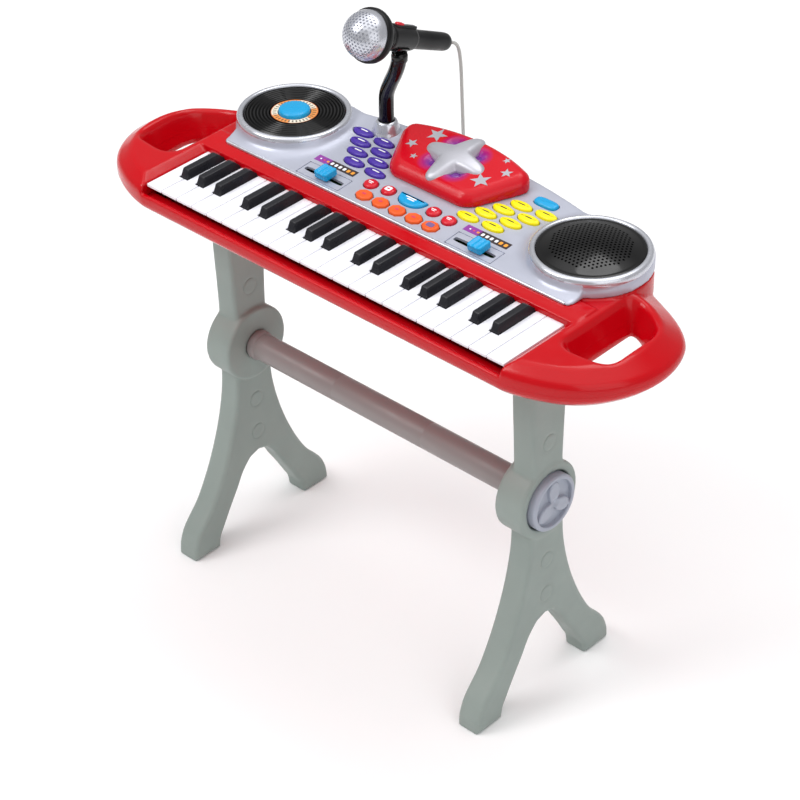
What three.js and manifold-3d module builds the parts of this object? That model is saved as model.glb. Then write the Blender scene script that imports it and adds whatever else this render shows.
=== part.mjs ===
// Toy electronic keyboard on a two-leg stand, with a microphone on a bent arm.
// Millimetres, +Z up. The player sits on the -Y side, low notes are on the -X side.
// Sizes along Y are measured from the front edge of the white keys; the last step
// shifts the finished group so that its origin is at the bottom centre of its box.
import * as THREE from 'three';
import { mergeVertices } from 'three/addons/utils/BufferGeometryUtils.js';
import Module from 'manifold-3d';

const wasm = await Module();
wasm.setup();

// ---- driving dimensions ------------------------------------------------------------
const GAP = 0.3;                     // clearance between fixed parts that touch
const WALL = 2.5;                    // moulded wall thickness

const WHITE_COUNT = 22;
const WHITE_PITCH = 20.5;
const WHITE_TOP = 434.2;
const WHITE_DEPTH = 8;
const KEY_GAP = 0.6;
const KEY_REAR = 112;
const BLACK_FRONT = 30;
const BLACK_TOP = 443;
const BLACK_HALF = 5.3;
const KEYS_VISIBLE = 79;             // where the keys pass under the bezel
// White-key boundary that each black key covers, and how far it sits off it.
const BLACK_GROUPS = [
  { boundaries: [1, 2, 3], offsets: [-1, 0.2, 2.8] },
  { boundaries: [5, 6], offsets: [-0.6, 2.8] },
];
const OCTAVE = 7;

const CASE_BOTTOM = 403.5;
const UNDERCUT = 10;                 // the underside slopes in this far all round
const CASE_SPLIT = 419;
const CASE_TOP = 440;
const CASE_FRONT = -8.5;
const LEAN_FROM = 424;               // the sides of the case lean in above this height
const LEAN_IN = 22;                  // how far they have leaned in by the top
const LEAN_AHEAD = 9;                // the front leans in that much less
const RAIL_TOP = 425;
const RAIL_INNER = -2.8;
const END_X = 325;
const BODY_HALF = 237;               // half width of the hollow middle of the case

const DECK_FRONT = 94.3;
const DECK_HALF = 217.6;
const DECK_BASE = 441.9;
const DECK_SURFACE = 444;            // top surface height at the front edge
const DECK_SLOPE = 0.0787;
const REAR_Y = 226.8;                // furthest point of the bulging rear wall
const SKIRT = 3;                     // thickness of the deck's wall behind the case
const SKIRT_BOTTOM = 411.5;
const SKIRT_START = THREE.MathUtils.degToRad(30);   // round a pod, where that wall begins
const SKIRT_END = THREE.MathUtils.degToRad(125);    // where the pod meets the rear arc

const POD_X = 187;
const POD_Y = 162;
const POD_R = 56.5;
const POD_TOP = 458.5;
const WELL_R = 50.2;
const POD_SIDES = 36;
const BUTTON_R = 15.7;               // round button in the platter

const DOME_FRONT = 147;
const STAR_Y = 186.5;

const LEG_X = 194.8;                 // middle of a leg's thickness
const LEG_THICK = 27;
const LEG_Y = 84.5;
const LEG_TOP = 420.5;
const HUB_Z = 228.5;
const HUB_R = 40;
const HUB_IN = 176;
const HUB_OUT = 209;
const BAR_R = 14;
const KNOB_R = 29.3;
const KNOB_OUT = 216;

const SOCKET = new THREE.Vector3(-101.2, 202, 464);   // top of the arm's socket
const ARM_R = 6.8;
const MIC_TAIL = new THREE.Vector3(-75, 266, 531);
const MIC_AXIS = new THREE.Vector3(0, -0.908, 0.419).normalize();
const CORD_R = 1.75;
const GLAND = { x: -40, z: 427, start: 223.2, end: 233 };   // where the cord goes back in

// Middle of the box along Y, from the feet's front edge to the microphone's tail.
const ORIGIN_Y = 127.5;

// ---- small tools ---------------------------------------------------------------------
function toManifold(geometry) {
  const bare = geometry.index ? geometry.toNonIndexed() : geometry.clone();
  bare.deleteAttribute('normal');
  bare.deleteAttribute('uv');
  const merged = mergeVertices(bare, 1e-4);
  return new wasm.Manifold(new wasm.Mesh({
    numProp: 3,
    vertProperties: new Float32Array(merged.attributes.position.array),
    triVerts: new Uint32Array(merged.index.array),
  }));
}

function toGeometry(solid) {
  const mesh = solid.getMesh();
  const geometry = new THREE.BufferGeometry();
  geometry.setAttribute('position', new THREE.BufferAttribute(mesh.vertProperties, 3));
  geometry.setIndex(new THREE.BufferAttribute(mesh.triVerts, 1));
  geometry.computeVertexNormals();
  return geometry;
}

function shapeOf(points) {
  return new THREE.Shape(points.map(([x, y]) => new THREE.Vector2(x, y)));
}

function slab(shape, z0, z1, bevel = 0) {
  const geometry = new THREE.ExtrudeGeometry(shape, {
    depth: z1 - z0 - 2 * bevel,
    bevelEnabled: bevel > 0,
    bevelThickness: bevel,
    bevelSize: bevel,
    bevelOffset: -bevel,
    bevelSegments: 2,
    curveSegments: 6,
  });
  return geometry.translate(0, 0, z0 + bevel);
}

function block(x0, x1, y0, y1, z0, z1) {
  const geometry = new THREE.BoxGeometry(x1 - x0, y1 - y0, z1 - z0);
  return geometry.translate((x0 + x1) / 2, (y0 + y1) / 2, (z0 + z1) / 2);
}

function disc(x, y, radius, z0, z1, segments = 40) {
  const geometry = new THREE.CylinderGeometry(radius, radius, z1 - z0, segments);
  return geometry.rotateX(Math.PI / 2).translate(x, y, (z0 + z1) / 2);
}

function axle(x0, x1, radius, segments = 32) {
  const geometry = new THREE.CylinderGeometry(radius, radius, x1 - x0, segments);
  return geometry.rotateZ(-Math.PI / 2).translate((x0 + x1) / 2, LEG_Y, HUB_Z);
}

function turned(profile, segments) {
  const points = profile.map(([r, z]) => new THREE.Vector2(r, z));
  return new THREE.LatheGeometry(points, segments).rotateX(Math.PI / 2);
}

// Extrudes a profile drawn in Y and Z along X, from x0.
function alongX(profile, x0, options) {
  const turn = new THREE.Matrix4().makeBasis(
    new THREE.Vector3(0, 1, 0), new THREE.Vector3(0, 0, 1), new THREE.Vector3(1, 0, 0));
  return new THREE.ExtrudeGeometry(profile, options).applyMatrix4(turn).translate(x0, 0, 0);
}

function roundedRect(x0, x1, y0, y1, r) {
  const shape = new THREE.Shape();
  shape.moveTo(x0 + r, y0);
  shape.lineTo(x1 - r, y0);
  shape.quadraticCurveTo(x1, y0, x1, y0 + r);
  shape.lineTo(x1, y1 - r);
  shape.quadraticCurveTo(x1, y1, x1 - r, y1);
  shape.lineTo(x0 + r, y1);
  shape.quadraticCurveTo(x0, y1, x0, y1 - r);
  shape.lineTo(x0, y0 + r);
  shape.quadraticCurveTo(x0, y0, x0 + r, y0);
  return shape;
}

function mirroredShape(rightHalf) {
  const left = rightHalf.map(([x, y]) => [-x, y]).reverse();
  return shapeOf([...rightHalf, ...left.slice(1, -1)]);
}

// Moves every corner of a closed outline inwards along its own normal.
function inset(points, distance) {
  const count = points.length;
  return points.map(([x, y], i) => {
    const [px, py] = points[(i + count - 1) % count];
    const [nx, ny] = points[(i + 1) % count];
    const length = Math.hypot(nx - px, ny - py);
    return [x - distance * (ny - py) / length, y + distance * (nx - px) / length];
  });
}

const deckHeight = (y) => DECK_SURFACE + DECK_SLOPE * (y - DECK_FRONT);

// Everything below a plane that is parallel to the sloping deck, from y = -60 to 400.
function belowDeck(drop) {
  const [y0, y1] = [-60, 400];
  const profile = shapeOf([
    [y0, 380], [y1, 380], [y1, deckHeight(y1) - drop], [y0, deckHeight(y0) - drop],
  ]);
  return alongX(profile, -400, { depth: 800, bevelEnabled: false });
}

function mesh(name, geometry, colour, roughness = 0.35, metalness = 0) {
  const material = new THREE.MeshStandardMaterial({ color: colour, roughness, metalness });
  const part = new THREE.Mesh(geometry, material);
  part.name = name;
  return part;
}

const twoDigits = (n) => String(n).padStart(2, '0');

const RED = 0xd0141e;
const SILVER = 0xb8bbca;
const BLACK = 0x26262c;
const BLUE = 0x1ea5d7;
const PURPLE = 0x50379a;
const ORANGE = 0xf06428;
const YELLOW = 0xfaeb14;
const STAND_GREY = 0x919b96;

// ---- keys ---------------------------------------------------------------------------
function blackKeyPlaces() {
  const places = [];
  for (let octave = 0; octave < 3; octave += 1) {
    for (const group of BLACK_GROUPS) {
      group.boundaries.forEach((boundary, i) => {
        const edge = boundary + octave * OCTAVE;
        places.push({ edge, x: whiteEdge(edge) + group.offsets[i] });
      });
    }
  }
  return places;
}

function whiteEdge(index) {
  return (index - WHITE_COUNT / 2) * WHITE_PITCH;
}

function whiteKey(index, blacks) {
  const x0 = whiteEdge(index) + KEY_GAP / 2;
  const x1 = whiteEdge(index + 1) - KEY_GAP / 2;
  const left = blacks.find((key) => key.edge === index);
  const right = blacks.find((key) => key.edge === index + 1);
  const notch = BLACK_FRONT - KEY_GAP;
  const clear = BLACK_HALF + KEY_GAP;
  const points = [[x0, 0], [x1, 0]];
  if (right) points.push([x1, notch], [right.x - clear, notch], [right.x - clear, KEY_REAR]);
  else points.push([x1, KEY_REAR]);
  if (left) points.push([left.x + clear, KEY_REAR], [left.x + clear, notch], [x0, notch]);
  else points.push([x0, KEY_REAR]);
  return slab(shapeOf(points), WHITE_TOP - WHITE_DEPTH, WHITE_TOP);
}

// A black key is a bar with leaning sides and a leaning nose, and a low tail.
function blackKey(x) {
  const geometry = new THREE.BoxGeometry(2 * BLACK_HALF, 1, 1).toNonIndexed();
  const position = geometry.attributes.position;
  const lean = 1.1;
  const nose = 5.5;
  const heel = 6;
  for (let i = 0; i < position.count; i += 1) {
    const top = position.getZ(i) > 0;
    const rear = position.getY(i) > 0;
    const rearEnd = top ? KEYS_VISIBLE - heel : KEYS_VISIBLE;
    const frontEnd = top ? BLACK_FRONT + nose : BLACK_FRONT;
    position.setX(i, position.getX(i) * (top ? 1 - lean / BLACK_HALF : 1));
    position.setY(i, rear ? rearEnd : frontEnd);
    position.setZ(i, top ? BLACK_TOP : WHITE_TOP - WHITE_DEPTH);
  }
  const tail = block(-BLACK_HALF, BLACK_HALF, KEYS_VISIBLE - heel, KEY_REAR - 4,
    WHITE_TOP - WHITE_DEPTH, WHITE_TOP - 0.5);
  return toGeometry(toManifold(geometry).add(toManifold(tail))).translate(x, 0, 0);
}

function keys() {
  const group = new THREE.Group();
  const blacks = blackKeyPlaces();
  for (let i = 0; i < WHITE_COUNT; i += 1) {
    group.add(mesh(`white_key_${twoDigits(i + 1)}`, whiteKey(i, blacks), 0xf7f8fc, 0.3));
  }
  blacks.forEach((key, i) => {
    group.add(mesh(`black_key_${twoDigits(i + 1)}`, blackKey(key.x), BLACK, 0.35));
  });
  return group;
}

// ---- case -----------------------------------------------------------------------------
// Right half of the case seen from above: front rail, end grip, speaker pod, rear arc.
function caseHalf() {
  const path = new THREE.Path();
  path.moveTo(0, CASE_FRONT);
  path.lineTo(226, CASE_FRONT);
  path.quadraticCurveTo(252, -5, 278, 10);
  path.quadraticCurveTo(299, 22, 312, 46);
  path.quadraticCurveTo(END_X, 70, END_X, 95);
  path.quadraticCurveTo(END_X, 120, 312, 142);
  path.quadraticCurveTo(300, 160, 268, 176);
  const corner = rearHalf(0, SKIRT_START)[0];
  path.lineTo(corner[0], corner[1]);
  return [...path.getPoints(6).map((p) => [p.x, p.y]), ...rearHalf(0, SKIRT_START).slice(1)];
}

// Right half of the rear wall's line, from a place round the pod to the middle.
function rearHalf(shrink, start) {
  const path = new THREE.Path();
  path.absarc(POD_X, POD_Y, POD_R - shrink, start, SKIRT_END, false);
  path.quadraticCurveTo(77, REAR_Y - shrink, 0, REAR_Y - shrink);
  return path.getPoints(6).map((p) => [p.x, p.y]);
}

// The strip between two lines along the rear wall, as a closed outline.
function rearBand(outside, inside, start) {
  const [outer, inner] = [outside, inside].map((shrink) => {
    const half = rearHalf(shrink, start);
    return [...half, ...half.slice(0, -1).reverse().map(([x, y]) => [-x, y])];
  });
  return shapeOf([...outer, ...inner.reverse()]);
}

function caseOutline(shrink) {
  const half = caseHalf();
  const left = half.map(([x, y]) => [-x, y]).reverse().slice(1, -1);
  return shapeOf(inset([...half, ...left], shrink));
}

function handleShape(side, grow = 0) {
  const shape = new THREE.Shape();
  shape.moveTo(side * (262 - grow), 49 - grow);
  shape.lineTo(side * (284 + grow), 51 - grow);
  shape.quadraticCurveTo(side * (296 + grow), 53 - grow, side * (297 + grow), 68);
  shape.lineTo(side * (297 + grow), 106);
  shape.quadraticCurveTo(side * (295 + grow), 126, side * (282 + grow), 136 + grow);
  shape.quadraticCurveTo(side * 268, 147 + grow, side * 256, 148 + grow);
  shape.quadraticCurveTo(side * (244 - grow), 148 + grow, side * (244 - grow), 134);
  shape.lineTo(side * (244 - grow), 66);
  shape.quadraticCurveTo(side * (244 - grow), 49 - grow, side * (262 - grow), 49 - grow);
  return shape;
}

// The whole case before it is split into its two shells, less the room for the deck's
// wall behind it.
function caseBlank() {
  const straight = CASE_TOP - CASE_BOTTOM;
  let solid = toManifold(new THREE.ExtrudeGeometry(caseOutline(0), {
    depth: straight, bevelEnabled: true, bevelThickness: UNDERCUT, bevelSize: UNDERCUT,
    bevelOffset: -UNDERCUT, bevelSegments: 1,
  }).translate(0, 0, CASE_BOTTOM + UNDERCUT));
  const lean = CASE_TOP - LEAN_FROM;
  const leaning = new THREE.ExtrudeGeometry(caseOutline(0), {
    depth: 60, bevelEnabled: true, bevelThickness: lean, bevelSize: LEAN_IN,
    bevelOffset: -LEAN_IN, bevelSegments: 1,
  }).translate(0, -LEAN_AHEAD, LEAN_FROM - 60);
  const rear = block(-240, 240, 150, 240, CASE_BOTTOM - 5, CASE_TOP);
  solid = solid.intersect(toManifold(leaning).add(toManifold(rear)));
  const room = rearBand(-20, SKIRT + GAP, SKIRT_START - 0.006);
  solid = solid.subtract(toManifold(slab(room, CASE_BOTTOM - 5, CASE_TOP + 5)));
  for (const side of [-1, 1]) {
    solid = solid.subtract(toManifold(slab(handleShape(side), CASE_BOTTOM - 5, CASE_TOP + 5)));
  }
  return solid;
}

// The room inside the case; its floor slopes up all round, as the underside does.
function cavity() {
  const room = toManifold(new THREE.ExtrudeGeometry(caseOutline(SKIRT + WALL + 0.5), {
    depth: CASE_TOP - CASE_BOTTOM, bevelEnabled: true, bevelThickness: UNDERCUT,
    bevelSize: UNDERCUT, bevelOffset: -UNDERCUT, bevelSegments: 1,
  }).translate(0, 0, CASE_BOTTOM + WALL + UNDERCUT));
  return room.intersect(toManifold(
    block(-BODY_HALF, BODY_HALF, -50, 300, CASE_BOTTOM, CASE_TOP - WALL)));
}

function lowerCase() {
  const slice = toManifold(block(-400, 400, -100, 400, CASE_BOTTOM - 10, CASE_SPLIT));
  let solid = caseBlank().intersect(slice);
  solid = solid.subtract(cavity());
  for (const side of [-1, 1]) {
    const x = side * LEG_X;
    solid = solid.subtract(toManifold(block(x - LEG_THICK / 2 - GAP, x + LEG_THICK / 2 + GAP,
      LEG_Y - 24 - GAP, LEG_Y + 24 + GAP, CASE_BOTTOM - 5, CASE_SPLIT)));
  }
  return toGeometry(solid);
}

function upperCase() {
  const base = CASE_SPLIT + GAP;
  let solid = caseBlank().intersect(toManifold(block(-400, 400, -100, 400, base, CASE_TOP)));
  solid = solid.subtract(cavity().intersect(toManifold(
    block(-400, 400, KEYS_VISIBLE, 300, CASE_BOTTOM, CASE_TOP))));
  const keyHalf = whiteEdge(WHITE_COUNT) + 0.6;
  // The opening for the keys, the low rail in front of them, and the deck's opening.
  const rail = [-keyHalf, keyHalf, RAIL_INNER, KEYS_VISIBLE + 1, base - 5, CASE_TOP + 5];
  solid = solid.subtract(toManifold(block(...rail)));
  solid = solid.subtract(toManifold(
    block(-keyHalf, keyHalf, -50, RAIL_INNER + 1, RAIL_TOP, CASE_TOP + 5)));
  solid = solid.subtract(toManifold(
    block(-DECK_HALF + 8, DECK_HALF - 8, DECK_FRONT + 6, 195, base - 5, CASE_TOP + 5)));
  // The raised bezel between the keys and the deck.
  const bezel = shapeOf([
    [KEYS_VISIBLE + 1, 436.2], [DECK_FRONT + 5, 436.2], [DECK_FRONT + 5, DECK_BASE - GAP],
    [DECK_FRONT - 1, DECK_BASE - GAP], [KEYS_VISIBLE + 4, CASE_TOP], [KEYS_VISIBLE + 1, CASE_TOP],
  ]);
  const bar = alongX(bezel, -keyHalf - 2, { depth: 2 * keyHalf + 4, bevelEnabled: false });
  return toGeometry(solid.add(toManifold(bar)));
}

// ---- deck -------------------------------------------------------------------------------
// Right half of the deck: its straight front, its corner, the pod and the rear arc.
function deckHalf(shrink) {
  const radius = POD_R - shrink;
  const corner = DECK_HALF - shrink;
  const podStart = -Math.acos((corner - POD_X) / radius);
  const path = new THREE.Path();
  path.moveTo(0, DECK_FRONT + shrink);
  path.lineTo(corner - 5, DECK_FRONT + shrink);
  path.quadraticCurveTo(corner, DECK_FRONT + shrink, corner, DECK_FRONT + shrink + 5);
  path.lineTo(corner, POD_Y + radius * Math.sin(podStart));
  path.absarc(POD_X, POD_Y, radius, podStart, SKIRT_START, false);
  return [...path.getPoints(8).map((p) => [p.x, p.y]), ...rearHalf(shrink, SKIRT_START).slice(1)];
}

// Round pod around a well: a flared foot, an upright wall and a rounded lip.
function pod(side) {
  const profile = [
    [WELL_R, DECK_BASE], [POD_R + 4, DECK_BASE], [POD_R + 4, DECK_BASE + 2],
    [POD_R, DECK_BASE + 8], [POD_R, POD_TOP - 2.5], [POD_R - 2, POD_TOP],
    [POD_R - 4.5, POD_TOP + 0.5], [WELL_R, POD_TOP - 1], [WELL_R, DECK_BASE],
  ];
  return turned(profile, POD_SIDES).translate(side * POD_X, POD_Y, 0);
}

function buttonHole(button, z0, z1) {
  const grow = 0.4;
  const shape = new THREE.Shape();
  shape.absellipse(button.x, button.y, button.rx + grow, button.ry + grow, 0, 2 * Math.PI);
  return toManifold(new THREE.ExtrudeGeometry(shape, {
    depth: z1 - z0, bevelEnabled: false, curveSegments: button.segments / 2,
  }).translate(0, 0, z0));
}

function controlPanel(buttons) {
  const outline = mirroredShape(deckHalf(0));
  const tall = toManifold(slab(outline, DECK_BASE, POD_TOP + 10));
  let solid = tall.intersect(toManifold(belowDeck(0)));
  for (const side of [-1, 1]) {
    solid = solid.add(toManifold(pod(side)).intersect(tall));
  }
  let room = toManifold(slab(mirroredShape(deckHalf(WALL)), DECK_BASE - 5, POD_TOP));
  room = room.intersect(toManifold(belowDeck(WALL)));
  for (const side of [-1, 1]) {
    room = room.subtract(toManifold(
      disc(side * POD_X, POD_Y, POD_R - 1, DECK_BASE - 10, POD_TOP + 10, POD_SIDES)));
  }
  solid = solid.subtract(room);
  for (const side of [-1, 1]) {
    solid = solid.subtract(toManifold(
      disc(side * POD_X, POD_Y, WELL_R, DECK_BASE - 5, POD_TOP + 10, POD_SIDES)));
    const slot = block(side * 95 - 24, side * 95 + 24, 106.5, 110.5, 400, 480);
    solid = solid.subtract(toManifold(slot));
  }
  solid = solid.subtract(toManifold(
    disc(SOCKET.x, SOCKET.y, ARM_R + GAP, DECK_BASE - 5, SOCKET.z + 20, 24)));
  const socket = turned([
    [ARM_R + GAP, deckHeight(SOCKET.y) - 2], [14, deckHeight(SOCKET.y) - 2],
    [13.4, deckHeight(SOCKET.y) + 3], [9.6, SOCKET.z], [ARM_R + GAP, SOCKET.z],
    [ARM_R + GAP, deckHeight(SOCKET.y) - 2],
  ], 24).translate(SOCKET.x, SOCKET.y, 0);
  solid = solid.add(toManifold(socket));
  const skirt = slab(rearBand(0, SKIRT, SKIRT_START), SKIRT_BOTTOM, DECK_BASE + 1);
  const gland = disc(0, 0, 4.2, 0, GLAND.end - GLAND.start, 16).rotateX(-Math.PI / 2);
  gland.translate(GLAND.x, GLAND.start, GLAND.z);
  solid = solid.add(toManifold(skirt)).add(toManifold(gland));
  for (const button of buttons) {
    solid = solid.subtract(buttonHole(button, 400, 490));
  }
  return toGeometry(solid);
}

// ---- buttons, sliders and discs -------------------------------------------------------
// Every button stands in an oval hole; a cluster is joined by a thin web under the deck.
function buttonPlaces() {
  const rhythm = [];
  const tone = [];
  for (let i = 0; i < 4; i += 1) {
    for (const [list, side] of [[rhythm, -1], [tone, 1]]) {
      list.push({ x: side * (58.8 + 9.4 * i), y: 140.3 + 14.2 * i, rx: 12, ry: 5.6 });
      list.push({ x: side * (87.6 + 9.3 * i), y: 142 + 14.2 * i, rx: 12, ry: 5.6 });
    }
  }
  const pads = [-2, -1, 0, 1, 2].map((i) => ({ x: 20.9 * i, y: 107.9, rx: 8.6, ry: 7 }));
  const functions = [-49.3, -28.5, 28.5, 49.3].map((x, i) => (
    { x, y: i % 3 === 0 ? 125 : 127, rx: 6.6, ry: 6.2 }));
  functions.push({ x: 0, y: 125.5, rx: 18.5, ry: 6.8 });
  const power = [{ x: 103, y: 199.5, rx: 13, ry: 5.6 }];
  const all = { rhythm, tone, pads, functions, power };
  for (const list of Object.values(all)) {
    for (const button of list) button.segments = 12;
  }
  return all;
}

function buttonCluster(places, proud, webShapes) {
  let solid = null;
  for (const place of places) {
    const top = deckHeight(place.y) + proud;
    const base = deckHeight(place.y) - 5.5;
    const cap = new THREE.CylinderGeometry(1, 1, top - base, place.segments);
    cap.rotateX(Math.PI / 2).scale(place.rx, place.ry, 1);
    cap.translate(place.x, place.y, (top + base) / 2);
    const piece = toManifold(cap);
    solid = solid ? solid.add(piece) : piece;
  }
  for (const web of webShapes) {
    const slice = toManifold(slab(shapeOf(web), 400, 480));
    const sheet = slice.intersect(toManifold(belowDeck(4.5))).subtract(toManifold(belowDeck(5.5)));
    solid = solid.add(sheet);
  }
  return toGeometry(solid);
}

function bandAlong(places, half) {
  const first = places[0];
  const last = places[places.length - 1];
  return [[first.x, first.y - half], [last.x, last.y - half],
    [last.x, last.y + half], [first.x, first.y + half]];
}

function slantedWeb(side) {
  const corners = [[55, 138], [91, 138], [119, 186], [83, 186]];
  const points = corners.map(([x, y]) => [side * x, y]);
  return side > 0 ? points : points.reverse();
}

function slider(side, offset) {
  const x = side * 95 + offset;
  const surface = deckHeight(108.5);
  const stem = block(x - 3, x + 3, 107, 110, surface - 6, surface + 2);
  const cap = slab(roundedRect(x - 7.5, x + 7.5, 101, 116, 2), surface + 1, surface + 8, 1.5);
  return toGeometry(toManifold(stem).add(toManifold(cap)));
}

function platter() {
  const outer = WELL_R - 0.8;
  const hole = BUTTON_R + 0.6;
  const profile = [
    [hole, 447], [outer - 4, 447], [outer, 452], [outer, POD_TOP - 1.2],
    [outer - 1, POD_TOP - 0.2], [hole, POD_TOP - 0.2], [hole, 447],
  ];
  return turned(profile, POD_SIDES).translate(-POD_X, POD_Y, 0);
}

function platterButton() {
  const profile = [
    [0, 447], [BUTTON_R, 447], [BUTTON_R, POD_TOP + 1], [BUTTON_R - 1.6, POD_TOP + 3.2],
    [BUTTON_R - 6.6, POD_TOP + 4.4], [0, POD_TOP + 4.8],
  ];
  return turned(profile, 20).translate(-POD_X, POD_Y, 0);
}

function speakerGrille() {
  const outer = WELL_R - GAP;
  const profile = [
    [0, 453], [outer, 453], [outer, POD_TOP - 0.5], [outer - 4, POD_TOP + 1.5],
    [32, POD_TOP + 5.2], [16, POD_TOP + 7], [0, POD_TOP + 7.6],
  ];
  return turned(profile, POD_SIDES).translate(POD_X, POD_Y, 0);
}

// ---- light dome ---------------------------------------------------------------------
function domeHalf(shrink) {
  const path = new THREE.Path();
  path.moveTo(0, DOME_FRONT + shrink);
  path.lineTo(38, DOME_FRONT + shrink);
  path.quadraticCurveTo(52 - shrink, DOME_FRONT + 1 + shrink, 57 - shrink, 161);
  path.lineTo(75 - shrink, 195);
  path.quadraticCurveTo(80 - shrink, 206, 70 - shrink, 213 - shrink);
  path.quadraticCurveTo(40, 225 - shrink, 0, 225.5 - shrink);
  return path.getPoints(8).map((p) => [p.x, p.y]);
}

function starArms(reach, waist) {
  const shape = new THREE.Shape();
  shape.moveTo(reach, 0);
  for (let arm = 1; arm <= 4; arm += 1) {
    const before = (arm - 0.5) * Math.PI / 2;
    const angle = arm * Math.PI / 2;
    shape.quadraticCurveTo(waist * 1.2 * Math.cos(angle - Math.PI / 2.6),
      waist * 1.2 * Math.sin(angle - Math.PI / 2.6),
      waist * Math.cos(before), waist * Math.sin(before));
    shape.quadraticCurveTo(waist * 1.2 * Math.cos(angle - Math.PI / 8.7),
      waist * 1.2 * Math.sin(angle - Math.PI / 8.7),
      reach * Math.cos(angle), reach * Math.sin(angle));
  }
  return shape;
}

function lightDome() {
  const outline = mirroredShape(domeHalf(0));
  const top = (y) => 461.5 + 0.16 * (y - DOME_FRONT);
  const profile = shapeOf([
    [DOME_FRONT - 10, 430], [240, 430], [240, top(240)], [DOME_FRONT + 6, top(DOME_FRONT + 6)],
    [DOME_FRONT - 2, top(DOME_FRONT) - 6], [DOME_FRONT - 10, top(DOME_FRONT) - 14],
  ]);
  const wedge = alongX(profile, -120, { depth: 240, bevelEnabled: false });
  const body = slab(outline, deckHeight(DOME_FRONT) - 10, 476, 4);
  let solid = toManifold(body).intersect(toManifold(wedge));
  solid = solid.subtract(toManifold(belowDeck(-GAP)));
  const star = slab(starArms(33, 11), 462, 474, 1);
  star.rotateZ(THREE.MathUtils.degToRad(-3)).translate(2, STAR_Y, 0);
  return toGeometry(solid.add(toManifold(star)));
}

// ---- stand ----------------------------------------------------------------------------
// Side view of a leg in Y and Z: a straight post that spreads into two curved feet.
function legShape() {
  const half = [
    [24.2, LEG_TOP], [24.2, 350], [21.5, 266], [24, 190], [27.5, 160],
    [35, 130], [45, 102], [57, 76], [70, 54], [84, 38], [92, 27], [97, 13], [98, 0],
  ];
  const arch = [[62, 0], [60, 12], [55, 21], [43, 42], [32.5, 59], [23, 76], [12, 88]];
  const rear = half.map(([y, z]) => [LEG_Y + y, z]);
  const front = half.map(([y, z]) => [LEG_Y - y, z]).reverse();
  const rearArch = arch.map(([y, z]) => [LEG_Y + y, z]);
  const frontArch = arch.map(([y, z]) => [LEG_Y - y, z]).reverse();
  return shapeOf([...rear, ...rearArch, [LEG_Y, 91.5], ...frontArch, ...front]);
}

function leg(side) {
  const bevel = 1.5;
  const post = alongX(legShape(), LEG_X - LEG_THICK / 2 + bevel, {
    depth: LEG_THICK - 2 * bevel, bevelEnabled: true, bevelThickness: bevel,
    bevelSize: bevel, bevelOffset: -bevel, bevelSegments: 1,
  });
  let solid = toManifold(post).add(toManifold(axle(HUB_IN, HUB_OUT, HUB_R, 36)));
  solid = solid.subtract(toManifold(axle(HUB_OUT - 8, HUB_OUT + 10, KNOB_R + 1.4, 32)));
  solid = solid.subtract(toManifold(axle(HUB_IN - 10, HUB_IN + 14, BAR_R + GAP)));
  solid = solid.subtract(toManifold(axle(HUB_IN, HUB_OUT, 5.3, 20)));
  if (side < 0) solid = solid.mirror([1, 0, 0]);
  return toGeometry(solid);
}

function crossbar() {
  const reach = HUB_IN + 13;
  let solid = toManifold(axle(-reach, reach, BAR_R));
  for (const side of [-1, 1]) {
    const end = side * (reach + 5);
    solid = solid.subtract(toManifold(
      axle(Math.min(end, end - side * 25), Math.max(end, end - side * 25), 5.3, 20)));
  }
  return toGeometry(solid);
}

// A locking knob: a round head with three finger lobes, and a threaded shank.
function knob(side) {
  const face = KNOB_OUT - 3;
  let solid = toManifold(axle(HUB_OUT - 7.5, face, KNOB_R, 36));
  solid = solid.add(toManifold(axle(HUB_IN - 4, HUB_OUT - 7, 4.9, 16)));
  for (let lobe = 0; lobe < 3; lobe += 1) {
    const angle = lobe * 2 * Math.PI / 3 + Math.PI / 2;
    const ridge = block(face - 1, KNOB_OUT, 2, 25, -4.5, 4.5);
    ridge.rotateX(angle).translate(0, LEG_Y, HUB_Z);
    solid = solid.add(toManifold(ridge));
  }
  solid = solid.add(toManifold(axle(face - 1, KNOB_OUT, 8, 24)));
  if (side < 0) solid = solid.mirror([1, 0, 0]);
  return toGeometry(solid);
}

// ---- microphone -------------------------------------------------------------------------
function sweep(points, radius, sides, steps) {
  const section = new THREE.Shape();
  section.absarc(0, 0, radius, 0, 2 * Math.PI);
  const ring = new THREE.Shape(section.getPoints(sides / 2).slice(0, sides));
  return new THREE.ExtrudeGeometry(ring, {
    steps, bevelEnabled: false, extrudePath: new THREE.CatmullRomCurve3(points),
  });
}

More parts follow.
